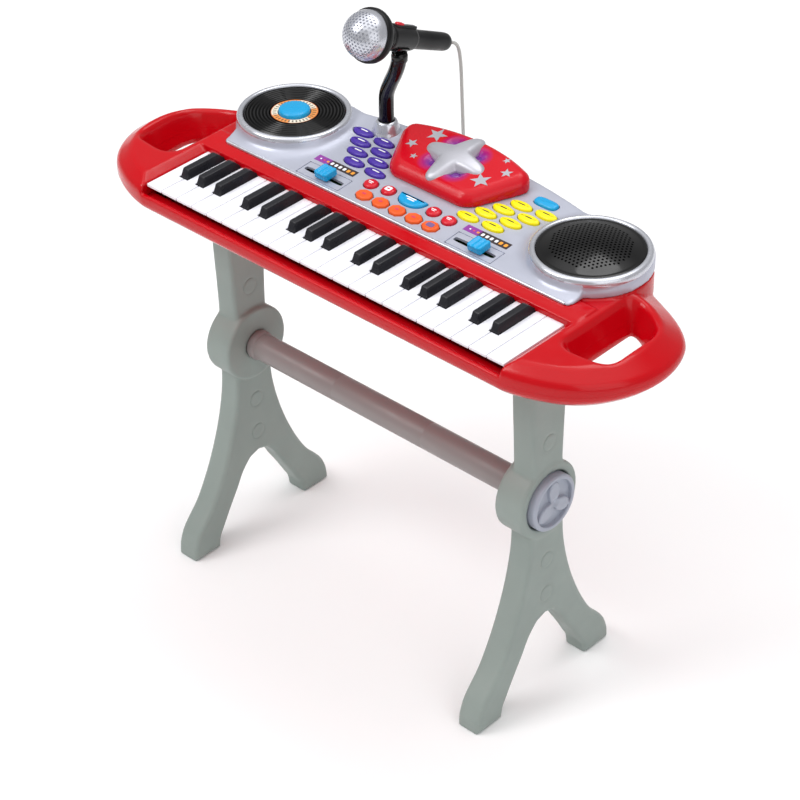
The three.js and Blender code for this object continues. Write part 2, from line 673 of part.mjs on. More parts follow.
// The bent arm: a plug in the socket, a double bend, and the clip under the microphone.
function micArm() {
  const route = [
    [-101.2, 202, 446], [-101.2, 202, 466], [-101.2, 202, 480], [-99.5, 201.3, 494],
    [-92, 199, 509], [-83.5, 196.3, 523], [-77.5, 194.6, 536], [-75, 194, 549],
  ].map(([x, y, z]) => new THREE.Vector3(x, y, z));
  let solid = toManifold(sweep(route, ARM_R, 10, 18));
  const clip = turned([
    [10.4, -9], [13, -9], [13, 9], [10.4, 9], [10.4, -9],
  ], 24);
  const jaw = toManifold(clip).subtract(toManifold(block(-20, 20, 4, 20, -20, 20)));
  const turn = new THREE.Matrix4().makeRotationFromQuaternion(micTurn());
  const centre = MIC_TAIL.clone().addScaledVector(MIC_AXIS, 79.3);
  const placed = toGeometry(jaw).applyMatrix4(turn).translate(centre.x, centre.y, centre.z);
  const neck = disc(-75, 194, 7.6, 546, 554, 16);
  const bore = turned([[0, -30], [10.4, -30], [10.4, 30], [0, 30]], 24);
  const cut = bore.applyMatrix4(turn).translate(centre.x, centre.y, centre.z);
  solid = solid.add(toManifold(neck)).subtract(toManifold(cut)).add(toManifold(placed));
  return toGeometry(solid);
}

// Turns local +Z onto the microphone's axis and local +Y onto its upper side.
function micTurn() {
  const side = new THREE.Vector3(1, 0, 0);
  const up = new THREE.Vector3().crossVectors(MIC_AXIS, side);
  const basis = new THREE.Matrix4().makeBasis(side, up, MIC_AXIS);
  return new THREE.Quaternion().setFromRotationMatrix(basis);
}

function microphone() {
  const profile = [
    [0, 0], [6, 0], [7.8, 2.5], [8.6, 60], [9.4, 62], [9.8, 92], [12.4, 96], [12.4, 100],
    [18, 106], [24.5, 114], [27, 118], [27.2, 124], [25, 127], [23.8, 128],
    [22.2, 134], [18.4, 140.5], [13, 145.5], [6.6, 148.3], [0, 149.2],
  ];
  const body = toManifold(turned(profile, 24));
  const track = block(-3.6, 3.6, 7, 12.2, 60, 92);
  const slot = block(-1.7, 1.7, 10.6, 14, 72, 90);
  return toGeometry(body.add(toManifold(track)).subtract(toManifold(slot)));
}

function micSwitch() {
  return toGeometry(toManifold(block(-1.4, 1.4, 10.9, 13, 80.5, 88)).add(
    toManifold(block(-3.2, 3.2, 12.5, 15, 80, 88.5))));
}

function microphoneParts() {
  const body = mesh('microphone', microphone(), BLACK, 0.4);
  const button = mesh('mic_switch', micSwitch(), RED, 0.35);
  for (const part of [body, button]) {
    part.position.copy(MIC_TAIL);
    part.quaternion.copy(micTurn());
  }
  return [body, button];
}

// The cord leaves the microphone's tail, falls behind the case and loops up into the gland.
const CORD_ROUTE = [
  [-75, 266.3, 530.9], [-75, 270.5, 528.6], [-75, 274.6, 524.4], [-74.8, 277.2, 518],
  [-74.4, 278.6, 508], [-73.8, 279.2, 494], [-73, 279, 478], [-72, 278.6, 460],
  [-70.8, 278, 442], [-69.4, 277.2, 424], [-67.6, 276.2, 406], [-65.4, 275, 388],
  [-62.6, 273.2, 372], [-59, 270.6, 359], [-54.6, 267, 351], [-49.8, 262.6, 349.4],
  [-45.6, 258.4, 355], [-42.8, 255.2, 366], [-41.2, 253, 380], [-40.4, 251, 396],
  [-40, 248, 411], [-40, 243.2, 422.6], [-40, 238, 426.8], [-40, 233.6, 427],
];

function micCord() {
  const points = CORD_ROUTE.map(([x, y, z]) => new THREE.Vector3(x, y, z));
  return sweep(points, CORD_R, 8, 46);
}

// ---- assembly ---------------------------------------------------------------------------
const places = buttonPlaces();
const toy = new THREE.Group();

toy.add(keys());
toy.add(mesh('lower_case', lowerCase(), RED, 0.3));
toy.add(mesh('upper_case', upperCase(), RED, 0.3));
toy.add(mesh('control_panel', controlPanel(Object.values(places).flat()), SILVER, 0.35, 0.6));
toy.add(mesh('light_dome', lightDome(), RED, 0.2));
toy.add(mesh('turntable_platter', platter(), BLACK, 0.35));
toy.add(mesh('turntable_button', platterButton(), BLUE, 0.25));
toy.add(mesh('speaker_grille', speakerGrille(), BLACK, 0.15));
toy.add(mesh('tempo_slider', slider(-1, 2.7), BLUE, 0.25));
toy.add(mesh('volume_slider', slider(1, 5.8), BLUE, 0.25));
toy.add(mesh('rhythm_buttons', buttonCluster(places.rhythm, 2, [slantedWeb(-1)]), PURPLE));
toy.add(mesh('tone_buttons', buttonCluster(places.tone, 2, [slantedWeb(1)]), YELLOW));
toy.add(mesh('drum_pads', buttonCluster(places.pads, 2, [bandAlong(places.pads, 3)]), ORANGE));
const functionWeb = [[-50, 122], [50, 122], [50, 128.5], [-50, 128.5]];
toy.add(mesh('function_buttons', buttonCluster(places.functions, 2, [functionWeb]), RED));
toy.add(mesh('power_button', buttonCluster(places.power, 2, []), BLUE, 0.25));
toy.add(mesh('left_leg', leg(-1), STAND_GREY, 0.5));
toy.add(mesh('right_leg', leg(1), STAND_GREY, 0.5));
toy.add(mesh('crossbar', crossbar(), 0x8d8583, 0.45));
toy.add(mesh('left_knob', knob(-1), 0xa3a8b4, 0.5));
toy.add(mesh('right_knob', knob(1), 0xa3a8b4, 0.5));
toy.add(mesh('mic_arm', micArm(), BLACK, 0.25));
toy.add(...microphoneParts());
toy.add(mesh('mic_cord', micCord(), 0xbebebc, 0.45));

toy.position.y = -ORIGIN_Y;

export default toy;
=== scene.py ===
"""Toy electronic keyboard on its stand, with a microphone on a bent arm.

Meshes are drawn in millimetres, with Y measured from the front edge of the white
keys, and piece() moves them into the frame. The round moulded parts are surfaces of
a signed distance (negative inside the plastic), meshed by carve().
"""
import itertools
import math

import bmesh
import bpy
import numpy as np
from mathutils import Matrix, Vector


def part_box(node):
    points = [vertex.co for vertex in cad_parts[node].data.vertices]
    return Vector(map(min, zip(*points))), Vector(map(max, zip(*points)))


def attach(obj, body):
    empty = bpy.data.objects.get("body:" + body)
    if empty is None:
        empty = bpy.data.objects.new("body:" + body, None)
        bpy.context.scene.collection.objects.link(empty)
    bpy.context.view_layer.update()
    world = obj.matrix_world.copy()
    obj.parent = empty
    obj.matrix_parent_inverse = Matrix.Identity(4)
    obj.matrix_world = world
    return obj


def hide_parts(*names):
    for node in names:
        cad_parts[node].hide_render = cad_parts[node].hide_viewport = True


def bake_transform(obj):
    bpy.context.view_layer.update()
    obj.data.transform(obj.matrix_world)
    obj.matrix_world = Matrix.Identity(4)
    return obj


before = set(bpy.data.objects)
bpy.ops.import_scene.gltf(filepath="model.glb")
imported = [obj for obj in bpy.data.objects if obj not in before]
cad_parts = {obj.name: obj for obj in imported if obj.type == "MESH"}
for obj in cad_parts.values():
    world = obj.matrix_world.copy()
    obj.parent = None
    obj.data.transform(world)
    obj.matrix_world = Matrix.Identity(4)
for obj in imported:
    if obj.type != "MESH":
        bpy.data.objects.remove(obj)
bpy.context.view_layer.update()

MM = 0.001
KEY_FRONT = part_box("white_key_01")[0].y / MM
TO_FRAME = Matrix.Scale(MM, 4) @ Matrix.Translation((0, KEY_FRONT, 0))


def in_frame(point):
    return TO_FRAME @ Vector(point)


# ---- driving sizes, in millimetres ---------------------------------------------------
GAP = 0.3
WHITE_PITCH = 20.5
WHITE_COUNT = 22
KEY_HALF = WHITE_PITCH * WHITE_COUNT / 2
WHITE_TOP = 434.2
BLACK_TOP = 443
KEYS_VISIBLE = 79
CASE_BOTTOM = 403.5
UNDERCUT = 10                        # the underside slopes in this far all round
CASE_SPLIT = 419
CASE_TOP = 440
CASE_FRONT = -8.5
RAIL_TOP = 425
RAIL_INNER = -2.8
DECK_FRONT = 94.3
DECK_HALF = 217.6
DECK_SURFACE = 444
DECK_SLOPE = 0.0787
DECK_BASE = 441.9
REAR_Y = 226.8
SKIRT = 3
SKIRT_BOTTOM = 411.5
POD_X, POD_Y, POD_R = 187, 162, 56.5
POD_TOP = 458.5
WELL_R = 50.2
SKIRT_FROM, SKIRT_TO = 30, 125       # degrees round the pod, where its wall reaches down
DOME_FRONT = 147
STAR_PLACE = (2, 186.5)
LEG_X, LEG_Y, LEG_THICK, LEG_TOP = 194.8, 84.5, 27, 420.5
HUB_Z, HUB_R, HUB_IN, HUB_OUT = 228.5, 40, 176, 209
BAR_R = 14
KNOB_R, KNOB_OUT = 29.3, 216
SOCKET = (-101.2, 202, 464)
ARM_R = 7.4
MIC_TAIL = Vector((-75, 266, 531))
MIC_AXIS = Vector((0, -0.908, 0.419)).normalized()
CORD_R = 1.75


def deck_height(y):
    return DECK_SURFACE + DECK_SLOPE * (y - DECK_FRONT)


# ---- camera --------------------------------------------------------------------------
def make_camera():
    """A long lens, looking down at the right front corner from well above it."""
    azimuth, elevation, roll = (math.radians(a) for a in (43.67, 35.81, -1.17))
    right = Vector((math.cos(azimuth), math.sin(azimuth), 0))
    back = Vector((math.sin(azimuth) * math.cos(elevation),
                   -math.cos(azimuth) * math.cos(elevation), math.sin(elevation)))
    up = back.cross(right)
    side = right * math.cos(roll) + up * math.sin(roll)
    top = up * math.cos(roll) - right * math.sin(roll)
    camera = bpy.data.objects.new("camera", bpy.data.cameras.new("camera"))
    bpy.context.scene.collection.objects.link(camera)
    camera.matrix_world = Matrix((side, top, back)).transposed().to_4x4()
    camera.location = in_frame((1397.76, -1357.56, 1691.13))
    camera.data.lens = 115.48
    camera.data.clip_end = 20
    bpy.context.scene.camera = camera


make_camera()


# ---- meshes --------------------------------------------------------------------------
def mesh_of(vertices, faces):
    mesh = bpy.data.meshes.new("shape")
    mesh.from_pydata([tuple(v) for v in vertices], [], [tuple(f) for f in faces])
    mesh.validate()
    return mesh


def piece(name, mesh, body, surface, replaces=None, sharp=35, bevel=0):
    """A piece in the frame, from a mesh in millimetres. Edges sharper than `sharp`
    degrees stay crisp; bevel, in millimetres, rounds the sharp edges."""
    mesh.transform(TO_FRAME)
    obj = bpy.data.objects.new(name, mesh)
    bpy.context.scene.collection.objects.link(obj)
    mesh.materials.clear()
    for one in surface if isinstance(surface, list) else [surface]:
        mesh.materials.append(one.material)
    if bevel:
        rounding = obj.modifiers.new("rounding", "BEVEL")
        rounding.width = bevel * MM
        rounding.segments = 3
        rounding.limit_method = "ANGLE"
        rounding.angle_limit = math.radians(sharp)
        apply_modifiers(obj)
    obj.data.shade_smooth()
    obj.data.set_sharp_from_angle(angle=math.radians(max(sharp, 40)))
    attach(obj, body)
    if replaces:
        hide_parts(replaces)
    return obj


def apply_modifiers(obj):
    graph = bpy.context.evaluated_depsgraph_get()
    made = bpy.data.meshes.new_from_object(obj.evaluated_get(graph))
    obj.modifiers.clear()
    obj.data = made


def temporary(mesh):
    obj = bpy.data.objects.new("temporary", mesh)
    bpy.context.scene.collection.objects.link(obj)
    return obj


def cut_out(mesh, cutter):
    """The mesh less the cutter mesh, both closed and in millimetres."""
    base, tool = temporary(mesh), temporary(cutter)
    change = base.modifiers.new("cut", "BOOLEAN")
    change.operation = "DIFFERENCE"
    change.solver = "MANIFOLD"
    change.object = tool
    bpy.context.view_layer.update()
    apply_modifiers(base)
    made = base.data
    for obj in (base, tool):
        bpy.data.objects.remove(obj)
    return made


def merged(meshes):
    """Several meshes as one."""
    whole = bmesh.new()
    for mesh in meshes:
        whole.from_mesh(mesh)
    made = bpy.data.meshes.new("merged")
    whole.to_mesh(made)
    whole.free()
    return made


def loft(rings, closed_loop=False):
    """Faces between rings of the same number of points, with both ends closed, or from
    the last ring back to the first."""
    count = len(rings[0])
    vertices = [p for ring in rings for p in ring]
    faces = []
    for i in range(len(rings) if closed_loop else len(rings) - 1):
        low, high = i * count, (i + 1) % len(rings) * count
        for j in range(count):
            k = (j + 1) % count
            faces.append((low + j, low + k, high + k, high + j))
    if not closed_loop:
        faces.append(tuple(reversed(range(count))))
        faces.append(tuple(range(len(vertices) - count, len(vertices))))
    return mesh_of(vertices, faces)


def circle(radius, count, z=0.0, centre=(0, 0)):
    angles = [2 * math.pi * i / count for i in range(count)]
    return [(centre[0] + radius * math.cos(a), centre[1] + radius * math.sin(a), z)
            for a in angles]


def lathe(profile, count=96, place=(0, 0, 0), turn=None, hollow=False):
    """A turned shape round Z from (radius, height) pairs. A radius of 0 closes an end,
    and a hollow profile is a closed loop."""
    rings = [circle(max(r, 0.01), count, z) for r, z in profile]
    mesh = loft(rings, closed_loop=hollow)
    mesh.transform(Matrix.Translation(place) @ (turn or Matrix.Identity(4)))
    return mesh


def prism(outline, z0, z1):
    low = [(x, y, z0) for x, y in outline]
    high = [(x, y, z1) for x, y in outline]
    return loft([low, high])


def box(x0, x1, y0, y1, z0, z1):
    return prism([(x0, y0), (x1, y0), (x1, y1), (x0, y1)], z0, z1)


def smooth_route(points, step):
    """Points at about that step on a smooth curve through the given ones."""
    points = [np.array(p, float) for p in points]
    ends = [2 * points[0] - points[1], *points, 2 * points[-1] - points[-2]]
    route = [points[0]]
    for a, b, c, d in zip(ends, ends[1:], ends[2:], ends[3:]):
        count = max(1, round(float(np.linalg.norm(c - b)) / step))
        for t in np.linspace(0, 1, count + 1)[1:]:
            route.append(0.5 * (2 * b + (c - a) * t + (2 * a - 5 * b + 4 * c - d) * t * t
                                + (3 * b - a - 3 * c + d) * t ** 3))
    return route


def tube(route, radius, count):
    """A round bar along a route."""
    route = [Vector(p) for p in route]
    tangents = [(route[min(i + 1, len(route) - 1)] - route[max(i - 1, 0)]).normalized()
                for i in range(len(route))]
    side = tangents[0].orthogonal().normalized()
    rings = []
    for point, along in zip(route, tangents):
        side = (side - along * side.dot(along)).normalized()
        other = along.cross(side)
        rings.append([tuple(point + side * a + other * b)
                      for a, b, _ in circle(radius, count)])
    return loft(rings)


# ---- outlines in X and Y -------------------------------------------------------------
def trace(start, *moves, steps=8):
    """An outline from a start. A move is an end point, or a (control, end) curve."""
    points = [start]
    for move in moves:
        if isinstance(move[0], tuple):
            control, end = (np.array(p, float) for p in move)
            first = np.array(points[-1], float)
            for t in np.linspace(0, 1, steps + 1)[1:]:
                points.append(tuple((1 - t) ** 2 * first + 2 * t * (1 - t) * control
                                    + t * t * end))
        else:
            points.append(move)
    return points


def arc(centre, radius, first, last, steps=24):
    angles = np.radians(np.linspace(first, last, steps + 1))
    return [(centre[0] + radius * math.cos(a), centre[1] + radius * math.sin(a))
            for a in angles]


def both_sides(half):
    """A closed outline from its right half, which starts and ends at X = 0."""
    return list(half) + [(-x, y) for x, y in reversed(half[1:-1])]


def case_outline():
    """The red case with its rounded carry grips, and the pods and bowed rear it shares."""
    half = trace((0, CASE_FRONT), (226, CASE_FRONT), ((252, -5), (278, 10)),
                 ((299, 22), (312, 46)), ((325, 70), (325, 95)), ((325, 120), (312, 142)),
                 ((300, 160), (268, 176)))
    half += arc((POD_X, POD_Y), POD_R, SKIRT_FROM, SKIRT_TO)
    half += trace(half[-1], ((77, REAR_Y), (0, REAR_Y)))[1:]
    return both_sides(half)


def skirt_area(thick):
    """The silver wall behind the case, this thick, and all that lies outside it."""
    inner = arc((POD_X, POD_Y), POD_R - thick, SKIRT_FROM, SKIRT_TO)
    inner += trace(inner[-1], ((77, REAR_Y - thick), (0, REAR_Y - thick)))[1:]
    far = arc((POD_X, POD_Y), POD_R + 40, SKIRT_FROM, SKIRT_TO - 20)
    return both_sides([*reversed(inner), *far, (0, 280)])


def handle_outline(side):
    """The opening of one carry grip; side is 1 for the right one and -1 for the left."""
    half = trace((262, 49), (284, 51), ((296, 53), (297, 68)), (297, 106),
                 ((295, 126), (282, 136)), ((268, 147), (256, 148)), ((244, 148), (244, 134)),
                 (244, 66), ((244, 49), (262, 49)))
    return [(side * x, y) for x, y in half]


def deck_outline():
    """The silver panel: straight front, a round pod at each end, bowed rear."""
    start = -math.degrees(math.acos((DECK_HALF - POD_X) / POD_R))
    half = trace((0, DECK_FRONT), (DECK_HALF - 5, DECK_FRONT),
                 ((DECK_HALF, DECK_FRONT), (DECK_HALF, DECK_FRONT + 5)), steps=4)
    half += arc((POD_X, POD_Y), POD_R, start, SKIRT_TO, steps=40)
    half += trace(half[-1], ((77, REAR_Y), (0, REAR_Y)))[1:]
    return both_sides(half)


def dome_outline():
    return both_sides(trace((0, DOME_FRONT), (38, DOME_FRONT), ((51, DOME_FRONT + 1), (57, 161)),
                            (75, 195), ((80, 206), (70, 213)), ((40, 225), (0, 225.5))))


def star_outline(points, outer, inner, turn=0.0):
    angles = [math.radians(turn) + math.pi * i / points for i in range(2 * points)]
    return [((inner if i % 2 else outer) * math.cos(a), (inner if i % 2 else outer) * math.sin(a))
            for i, a in enumerate(angles)]


# ---- signed distances ----------------------------------------------------------------
def polygon(outline, x, y):
    """Signed distance to a closed outline, negative inside."""
    best, inside = np.inf, False
    for (ax, ay), (bx, by) in zip(outline, outline[1:] + outline[:1]):
        ex, ey = bx - ax, by - ay
        px, py = x - ax, y - ay
        t = np.clip((px * ex + py * ey) / max(ex * ex + ey * ey, 1e-12), 0, 1)
        best = np.minimum(best, (px - t * ex) ** 2 + (py - t * ey) ** 2)
        crossing = ((ay > y) != (by > y)) & (x < ex * (y - ay) / (ey or 1) + ax)
        inside = inside ^ crossing
    return np.where(inside, -1, 1) * np.sqrt(best)


def rounded(flat, z, z0, z1, r):
    """A flat shape's distance, extruded from z0 to z1 with edges of radius r."""
    a = flat + r
    b = np.abs(z - (z0 + z1) / 2) - (z1 - z0) / 2 + r
    return np.minimum(np.maximum(a, b), 0) + np.hypot(np.maximum(a, 0), np.maximum(b, 0)) - r


def join(a, b, blend):
    """Either shape, with a fillet about as wide as blend where they meet."""
    h = np.clip(0.5 + 0.5 * (b - a) / blend, 0, 1)
    return b + (a - b) * h - blend * h * (1 - h)


def common(a, b, blend):
    return -join(-a, -b, blend)


def less(a, b, blend):
    return common(a, -b, blend)


def block(x, y, z, x0, x1, y0, y1, z0, z1):
    a = np.abs(x - (x0 + x1) / 2) - (x1 - x0) / 2
    b = np.abs(y - (y0 + y1) / 2) - (y1 - y0) / 2
    c = np.abs(z - (z0 + z1) / 2) - (z1 - z0) / 2
    return np.maximum(np.maximum(a, b), c)


def carve(distance, low, high, cell):
    """Mesh of the surface where the distance is zero, by surface nets: one vertex in
    each cell that the surface crosses, one face for each grid edge that it crosses."""
    axes = [np.arange(a - 1.5 * cell, b + 2.5 * cell, cell) for a, b in zip(low, high)]
    grid = np.ix_(*axes)
    shape = tuple(len(a) for a in axes)
    value = np.ascontiguousarray(np.broadcast_to(distance(*grid), shape), dtype=float)
    inside = value < 0
    corners = [inside[i:shape[0] - 1 + i, j:shape[1] - 1 + j, k:shape[2] - 1 + k]
               for i, j, k in itertools.product((0, 1), repeat=3)]
    filled = sum(c.astype(np.int8) for c in corners)
    active = (filled > 0) & (filled < 8)
    number = np.full(active.shape, -1)
    number[active] = np.arange(active.sum())
    cells = np.argwhere(active)
    total, hits = np.zeros(cells.shape), np.zeros(len(cells))
    for axis, u, v in itertools.product(range(3), (0, 1), (0, 1)):
        first = cells.copy()
        first[:, (axis + 1) % 3] += u
        first[:, (axis + 2) % 3] += v
        last = first.copy()
        last[:, axis] += 1
        a, b = value[tuple(first.T)], value[tuple(last.T)]
        crossed = (a < 0) != (b < 0)
        point = first.astype(float)
        point[:, axis] += np.where(crossed, a / np.where(a == b, 1, a - b), 0)
        total += point * crossed[:, None]
        hits += crossed
    vertices = total / hits[:, None] * cell + np.array([a[0] for a in axes])
    faces = []
    for axis in range(3):
        u, v = (axis + 1) % 3, (axis + 2) % 3
        near = np.moveaxis(inside, (axis, u, v), (0, 1, 2))
        ids = np.moveaxis(number, (axis, u, v), (0, 1, 2))
        i, j, k = np.nonzero((near[:-1] != near[1:])[:, 1:-1, 1:-1])
        quad = np.stack([ids[i, j, k], ids[i, j + 1, k], ids[i, j + 1, k + 1], ids[i, j, k + 1]], 1)
        outward = near[i, j + 1, k + 1]
        faces.append(np.where(outward[:, None], quad, quad[:, ::-1]))
    faces = np.concatenate(faces)
    mesh = bpy.data.meshes.new("carved")
    mesh.vertices.add(len(vertices))
    mesh.vertices.foreach_set("co", vertices.astype(np.float32).ravel())
    mesh.loops.add(faces.size)
    mesh.loops.foreach_set("vertex_index", faces.astype(np.int32).ravel())
    mesh.polygons.add(len(faces))
    mesh.polygons.foreach_set("loop_start", np.arange(0, faces.size, 4, dtype=np.int32))
    mesh.update(calc_edges=True)
    mesh.validate()
    return mesh


# ---- materials -----------------------------------------------------------------------
def linear(colour):
    """A colour given as 0 to 255 sRGB numbers, in Blender's linear numbers."""
    parts = [c / 255 for c in colour]
    return [c / 12.92 if c <= 0.04045 else ((c + 0.055) / 1.055) ** 2.4 for c in parts] + [1]


class Surface:
    """A principled material with its node tree at hand."""

    def __init__(self, name, **values):
        self.material = bpy.data.materials.new(name)
        self.material.use_nodes = True
        self.tree = self.material.node_tree
        self.shader = self.tree.nodes["Principled BSDF"]
        for socket, value in values.items():
            self.shader.inputs[socket.replace("_", " ")].default_value = value
        self.place = self.tree.nodes.new("ShaderNodeTexCoord").outputs["Object"]

    def node(self, kind, **inputs):
        made = self.tree.nodes.new(kind)
        for socket, value in inputs.items():
            self.put(value, made.inputs[socket.replace("_", " ")])
        return made

    def put(self, value, socket):
        if isinstance(value, bpy.types.NodeSocket):
            self.tree.links.new(value, socket)
        else:
            socket.default_value = value

    def noise(self, scale, detail=3.0, place=None):
        return self.node("ShaderNodeTexNoise", Vector=place or self.place, Scale=scale,
                         Detail=detail).outputs["Fac"]

    def ramp(self, factor, low, high, start=0.35, end=0.65):
        made = self.node("ShaderNodeMapRange", Value=factor, From_Min=start, From_Max=end)
        made.inputs["To Min"].default_value = low
        made.inputs["To Max"].default_value = high
        return made.outputs["Result"]

    def mix(self, factor, first, second):
        made = self.tree.nodes.new("ShaderNodeMix")
        made.data_type = "RGBA"
        self.put(factor, made.inputs["Factor"])
        self.put(first, made.inputs[6])
        self.put(second, made.inputs[7])
        return made.outputs[2]

    def maths(self, operation, first, second=0.0):
        made = self.tree.nodes.new("ShaderNodeMath")
        made.operation = operation
        self.put(first, made.inputs[0])
        self.put(second, made.inputs[1])
        return made.outputs[0]

    def colour(self, value):
        self.put(value, self.shader.inputs["Base Color"])

    def roughness(self, value):
        self.put(value, self.shader.inputs["Roughness"])

    def bump(self, height, strength, distance=0.0002):
        made = self.node("ShaderNodeBump", Height=height, Strength=strength, Distance=distance)
        self.tree.links.new(made.outputs["Normal"], self.shader.inputs["Normal"])


def shade(colour, factor):
    return [min(1.0, c * factor) for c in colour[:3]] + [1]


def plastic(name, colour, rough=0.3, grain=900.0, grain_strength=0.12, vary=0.05, shine=0.4,
            **values):
    """Moulded plastic: a slightly uneven colour, flow marks, fine grain and worn gloss."""
    surface = Surface(name, Specular_IOR_Level=shine, **values)
    base = linear(colour)
    cloud = surface.noise(14.0, 4.0)
    surface.colour(surface.mix(surface.ramp(cloud, 0.0, 1.0, 0.3, 0.7),
                               shade(base, 1 - vary), shade(base, 1 + vary)))
    surface.roughness(surface.ramp(surface.noise(60.0, 5.0), rough - 0.05, rough + 0.07))
    surface.bump(surface.noise(grain, 2.0), grain_strength, 0.0001)
    return surface


RED_CASE = plastic("red_case", (190, 2, 16), rough=0.17, grain=500, grain_strength=0.04, vary=0.03,
                   shine=0.3)
SILVER = plastic("silver_panel", (186, 189, 203), rough=0.36, grain=1800, grain_strength=0.06,
                 vary=0.02, Metallic=0.35)
# A lighter copy of the panel silver: on the pod rims and the panel's front edge it is a painted
# highlight; it also colours the arm socket and the microphone grille.
BRIGHT_SILVER_AND_HIGHLIGHT = plastic("bright_silver_and_highlight", (206, 208, 216), rough=0.24, grain=600,
                      grain_strength=0.02, vary=0.02, Metallic=0.7)
SILVER_SATIN = plastic("silver_satin", (190, 190, 198), rough=0.38, grain=900,
                       grain_strength=0.03, vary=0.02, Metallic=0.45)
WHITE_KEY = plastic("white_key", (240, 240, 247), rough=0.24, grain=400, grain_strength=0.03,
                    vary=0.012)
BLACK_KEY = plastic("black_key", (30, 30, 35), rough=0.3, grain=1600, grain_strength=0.15,
                    shine=0.3)
BLACK_GLOSS = plastic("black_gloss", (8, 8, 9), rough=0.1, grain=400, grain_strength=0.03)
BLACK_SATIN = plastic("black_satin", (12, 12, 14), rough=0.34, grain=1400, grain_strength=0.12,
                      shine=0.25)
DARK = plastic("dark_inside", (10, 10, 12), rough=0.7)
BLUE = plastic("blue_plastic", (18, 158, 214), rough=0.24, grain_strength=0.05)
PURPLE = plastic("purple_plastic", (72, 44, 158), rough=0.26, grain_strength=0.05)
YELLOW = plastic("yellow_plastic", (250, 232, 10), rough=0.3, grain_strength=0.05, vary=0.03)
ORANGE = plastic("orange_rubber", (240, 92, 30), rough=0.45, grain=1500, grain_strength=0.15)
RED_BUTTON = plastic("red_button", (206, 16, 40), rough=0.24, grain_strength=0.05)
WHITE_INK = plastic("white_ink", (240, 240, 245), rough=0.5)
BLACK_INK = plastic("black_ink", (40, 34, 20), rough=0.5)
PINK_INK = plastic("pink_ink", (216, 70, 90), rough=0.5)
MAUVE_INK = plastic("mauve_ink", (122, 92, 140), rough=0.5)
ORANGE_INK = plastic("orange_ink", (245, 160, 50), rough=0.5)
STAND = plastic("stand_grey", (142, 152, 147), rough=0.48, grain=1100, grain_strength=0.3)
BAR = plastic("crossbar_grey", (142, 133, 132), rough=0.4, grain=1100, grain_strength=0.2)
KNOB = plastic("knob_grey", (160, 165, 178), rough=0.42, grain=1100, grain_strength=0.2)
CORD = plastic("cord_grey", (190, 190, 186), rough=0.42, grain=700, grain_strength=0.2)
METAL = plastic("screw_steel", (170, 172, 176), rough=0.3, Metallic=1.0)
GREEN_BOARD = plastic("circuit_green", (24, 92, 48), rough=0.4, grain=300, grain_strength=0.3)
RUBBER = plastic("contact_rubber", (120, 124, 128), rough=0.6)
LENS = plastic("purple_lens", (104, 30, 132), rough=0.2, Coat_Weight=0.4)


# ---- keys ----------------------------------------------------------------------------
def key_boxes(kind, count):
    """Lowest and highest corner of each key at rest, in design millimetres."""
    back = TO_FRAME.inverted()
    return [tuple(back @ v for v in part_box(f"{kind}_key_{i + 1:02d}")) for i in range(count)]


LIP_THICK = 3.4                      # thin front lip of a white key, over a dark recess
LIP_DEEP = 7


def white_keys():
    blacks = key_boxes("black", 15)
    notch_y = blacks[0][0].y - 0.6
    for i, (low, high) in enumerate(key_boxes("white", WHITE_COUNT)):
        low.x += 0.12
        high.x -= 0.12
        outline = [(low.x, low.y), (high.x, low.y)]
        right = [b for b in blacks if b[0].x < high.x < b[1].x]
        left = [b for b in blacks if b[0].x < low.x < b[1].x]
        edge = right[0][0].x - 0.6 if right else high.x
        outline += [(high.x, notch_y), (edge, notch_y)] if right else []
        outline.append((edge, high.y))
        edge = left[0][1].x + 0.6 if left else low.x
        outline.append((edge, high.y))
        outline += [(edge, notch_y), (low.x, notch_y)] if left else []
        name = f"white_key_{i + 1:02d}"
        mesh = prism(outline, low.z, high.z)
        mesh = cut_out(mesh, box(low.x - 1, high.x + 1, low.y - 1, low.y + LIP_DEEP,
                                 low.z - 1, high.z - LIP_THICK))
        piece(f"{name}_cap", mesh, name, WHITE_KEY, name, bevel=0.6)


def black_key_section(half, y, top, low):
    """A closed ring across a black key: straight foot, leaning sides, rounded top."""
    right = [(half, low), (half, WHITE_TOP), (half - 0.3, WHITE_TOP + 0.5),
             (half - 1.5, top - 0.5), (half - 1.85, top - 0.12), (half - 2.4, top)]
    ring = right + [(-x, z) for x, z in reversed(right)]
    return [(x, y, z) for x, z in ring]


def black_keys():
    stations = [(30.0, 0.9, 434.8), (30.3, 0.94, 435.8), (33.4, 0.985, 442.1),
                (34.0, 1.0, 442.8), (34.9, 1.0, BLACK_TOP),
                (55.0, 1.0, BLACK_TOP), (70.5, 1.0, BLACK_TOP), (72.5, 1.0, 442.7),
                (75.0, 1.0, 440.9), (KEYS_VISIBLE - 0.4, 1.0, 437.6), (82.0, 0.98, 434.6),
                (100.0, 0.98, 434.4)]
    for i, (low, high) in enumerate(key_boxes("black", 15)):
        middle = (low.x + high.x) / 2
        half = (high.x - low.x) / 2
        rings = []
        for y, narrow, top in stations:
            ring = black_key_section(half * narrow, y, max(top, WHITE_TOP + 2.2), low.z + 0.2)
            rings.append([(x + middle, y, min(z, top)) for x, _, z in ring])
        name = f"black_key_{i + 1:02d}"
        piece(f"{name}_cap", loft(rings), name, BLACK_KEY, name, sharp=40)


# ---- red case ------------------------------------------------------------------------
LEAN_FROM = 424                      # height where the side of the case starts to lean in
LEAN_IN = 22                         # how far it leans in by the top
LEAN_AHEAD = 9                       # the front leans in that much less
SPARE = 4                            # carved past the split, then cut off exactly
END_WALL = 237                       # half width of the hollow between the two grips
WALL = 6
GRIP_TAPER = 0.38                    # the grips' openings get narrower towards the underside


def under_slope(flat, z):
    """Distance to a floor that slopes up at 45 degrees round an outline."""
    return (flat + CASE_BOTTOM + UNDERCUT - z) / math.sqrt(2)


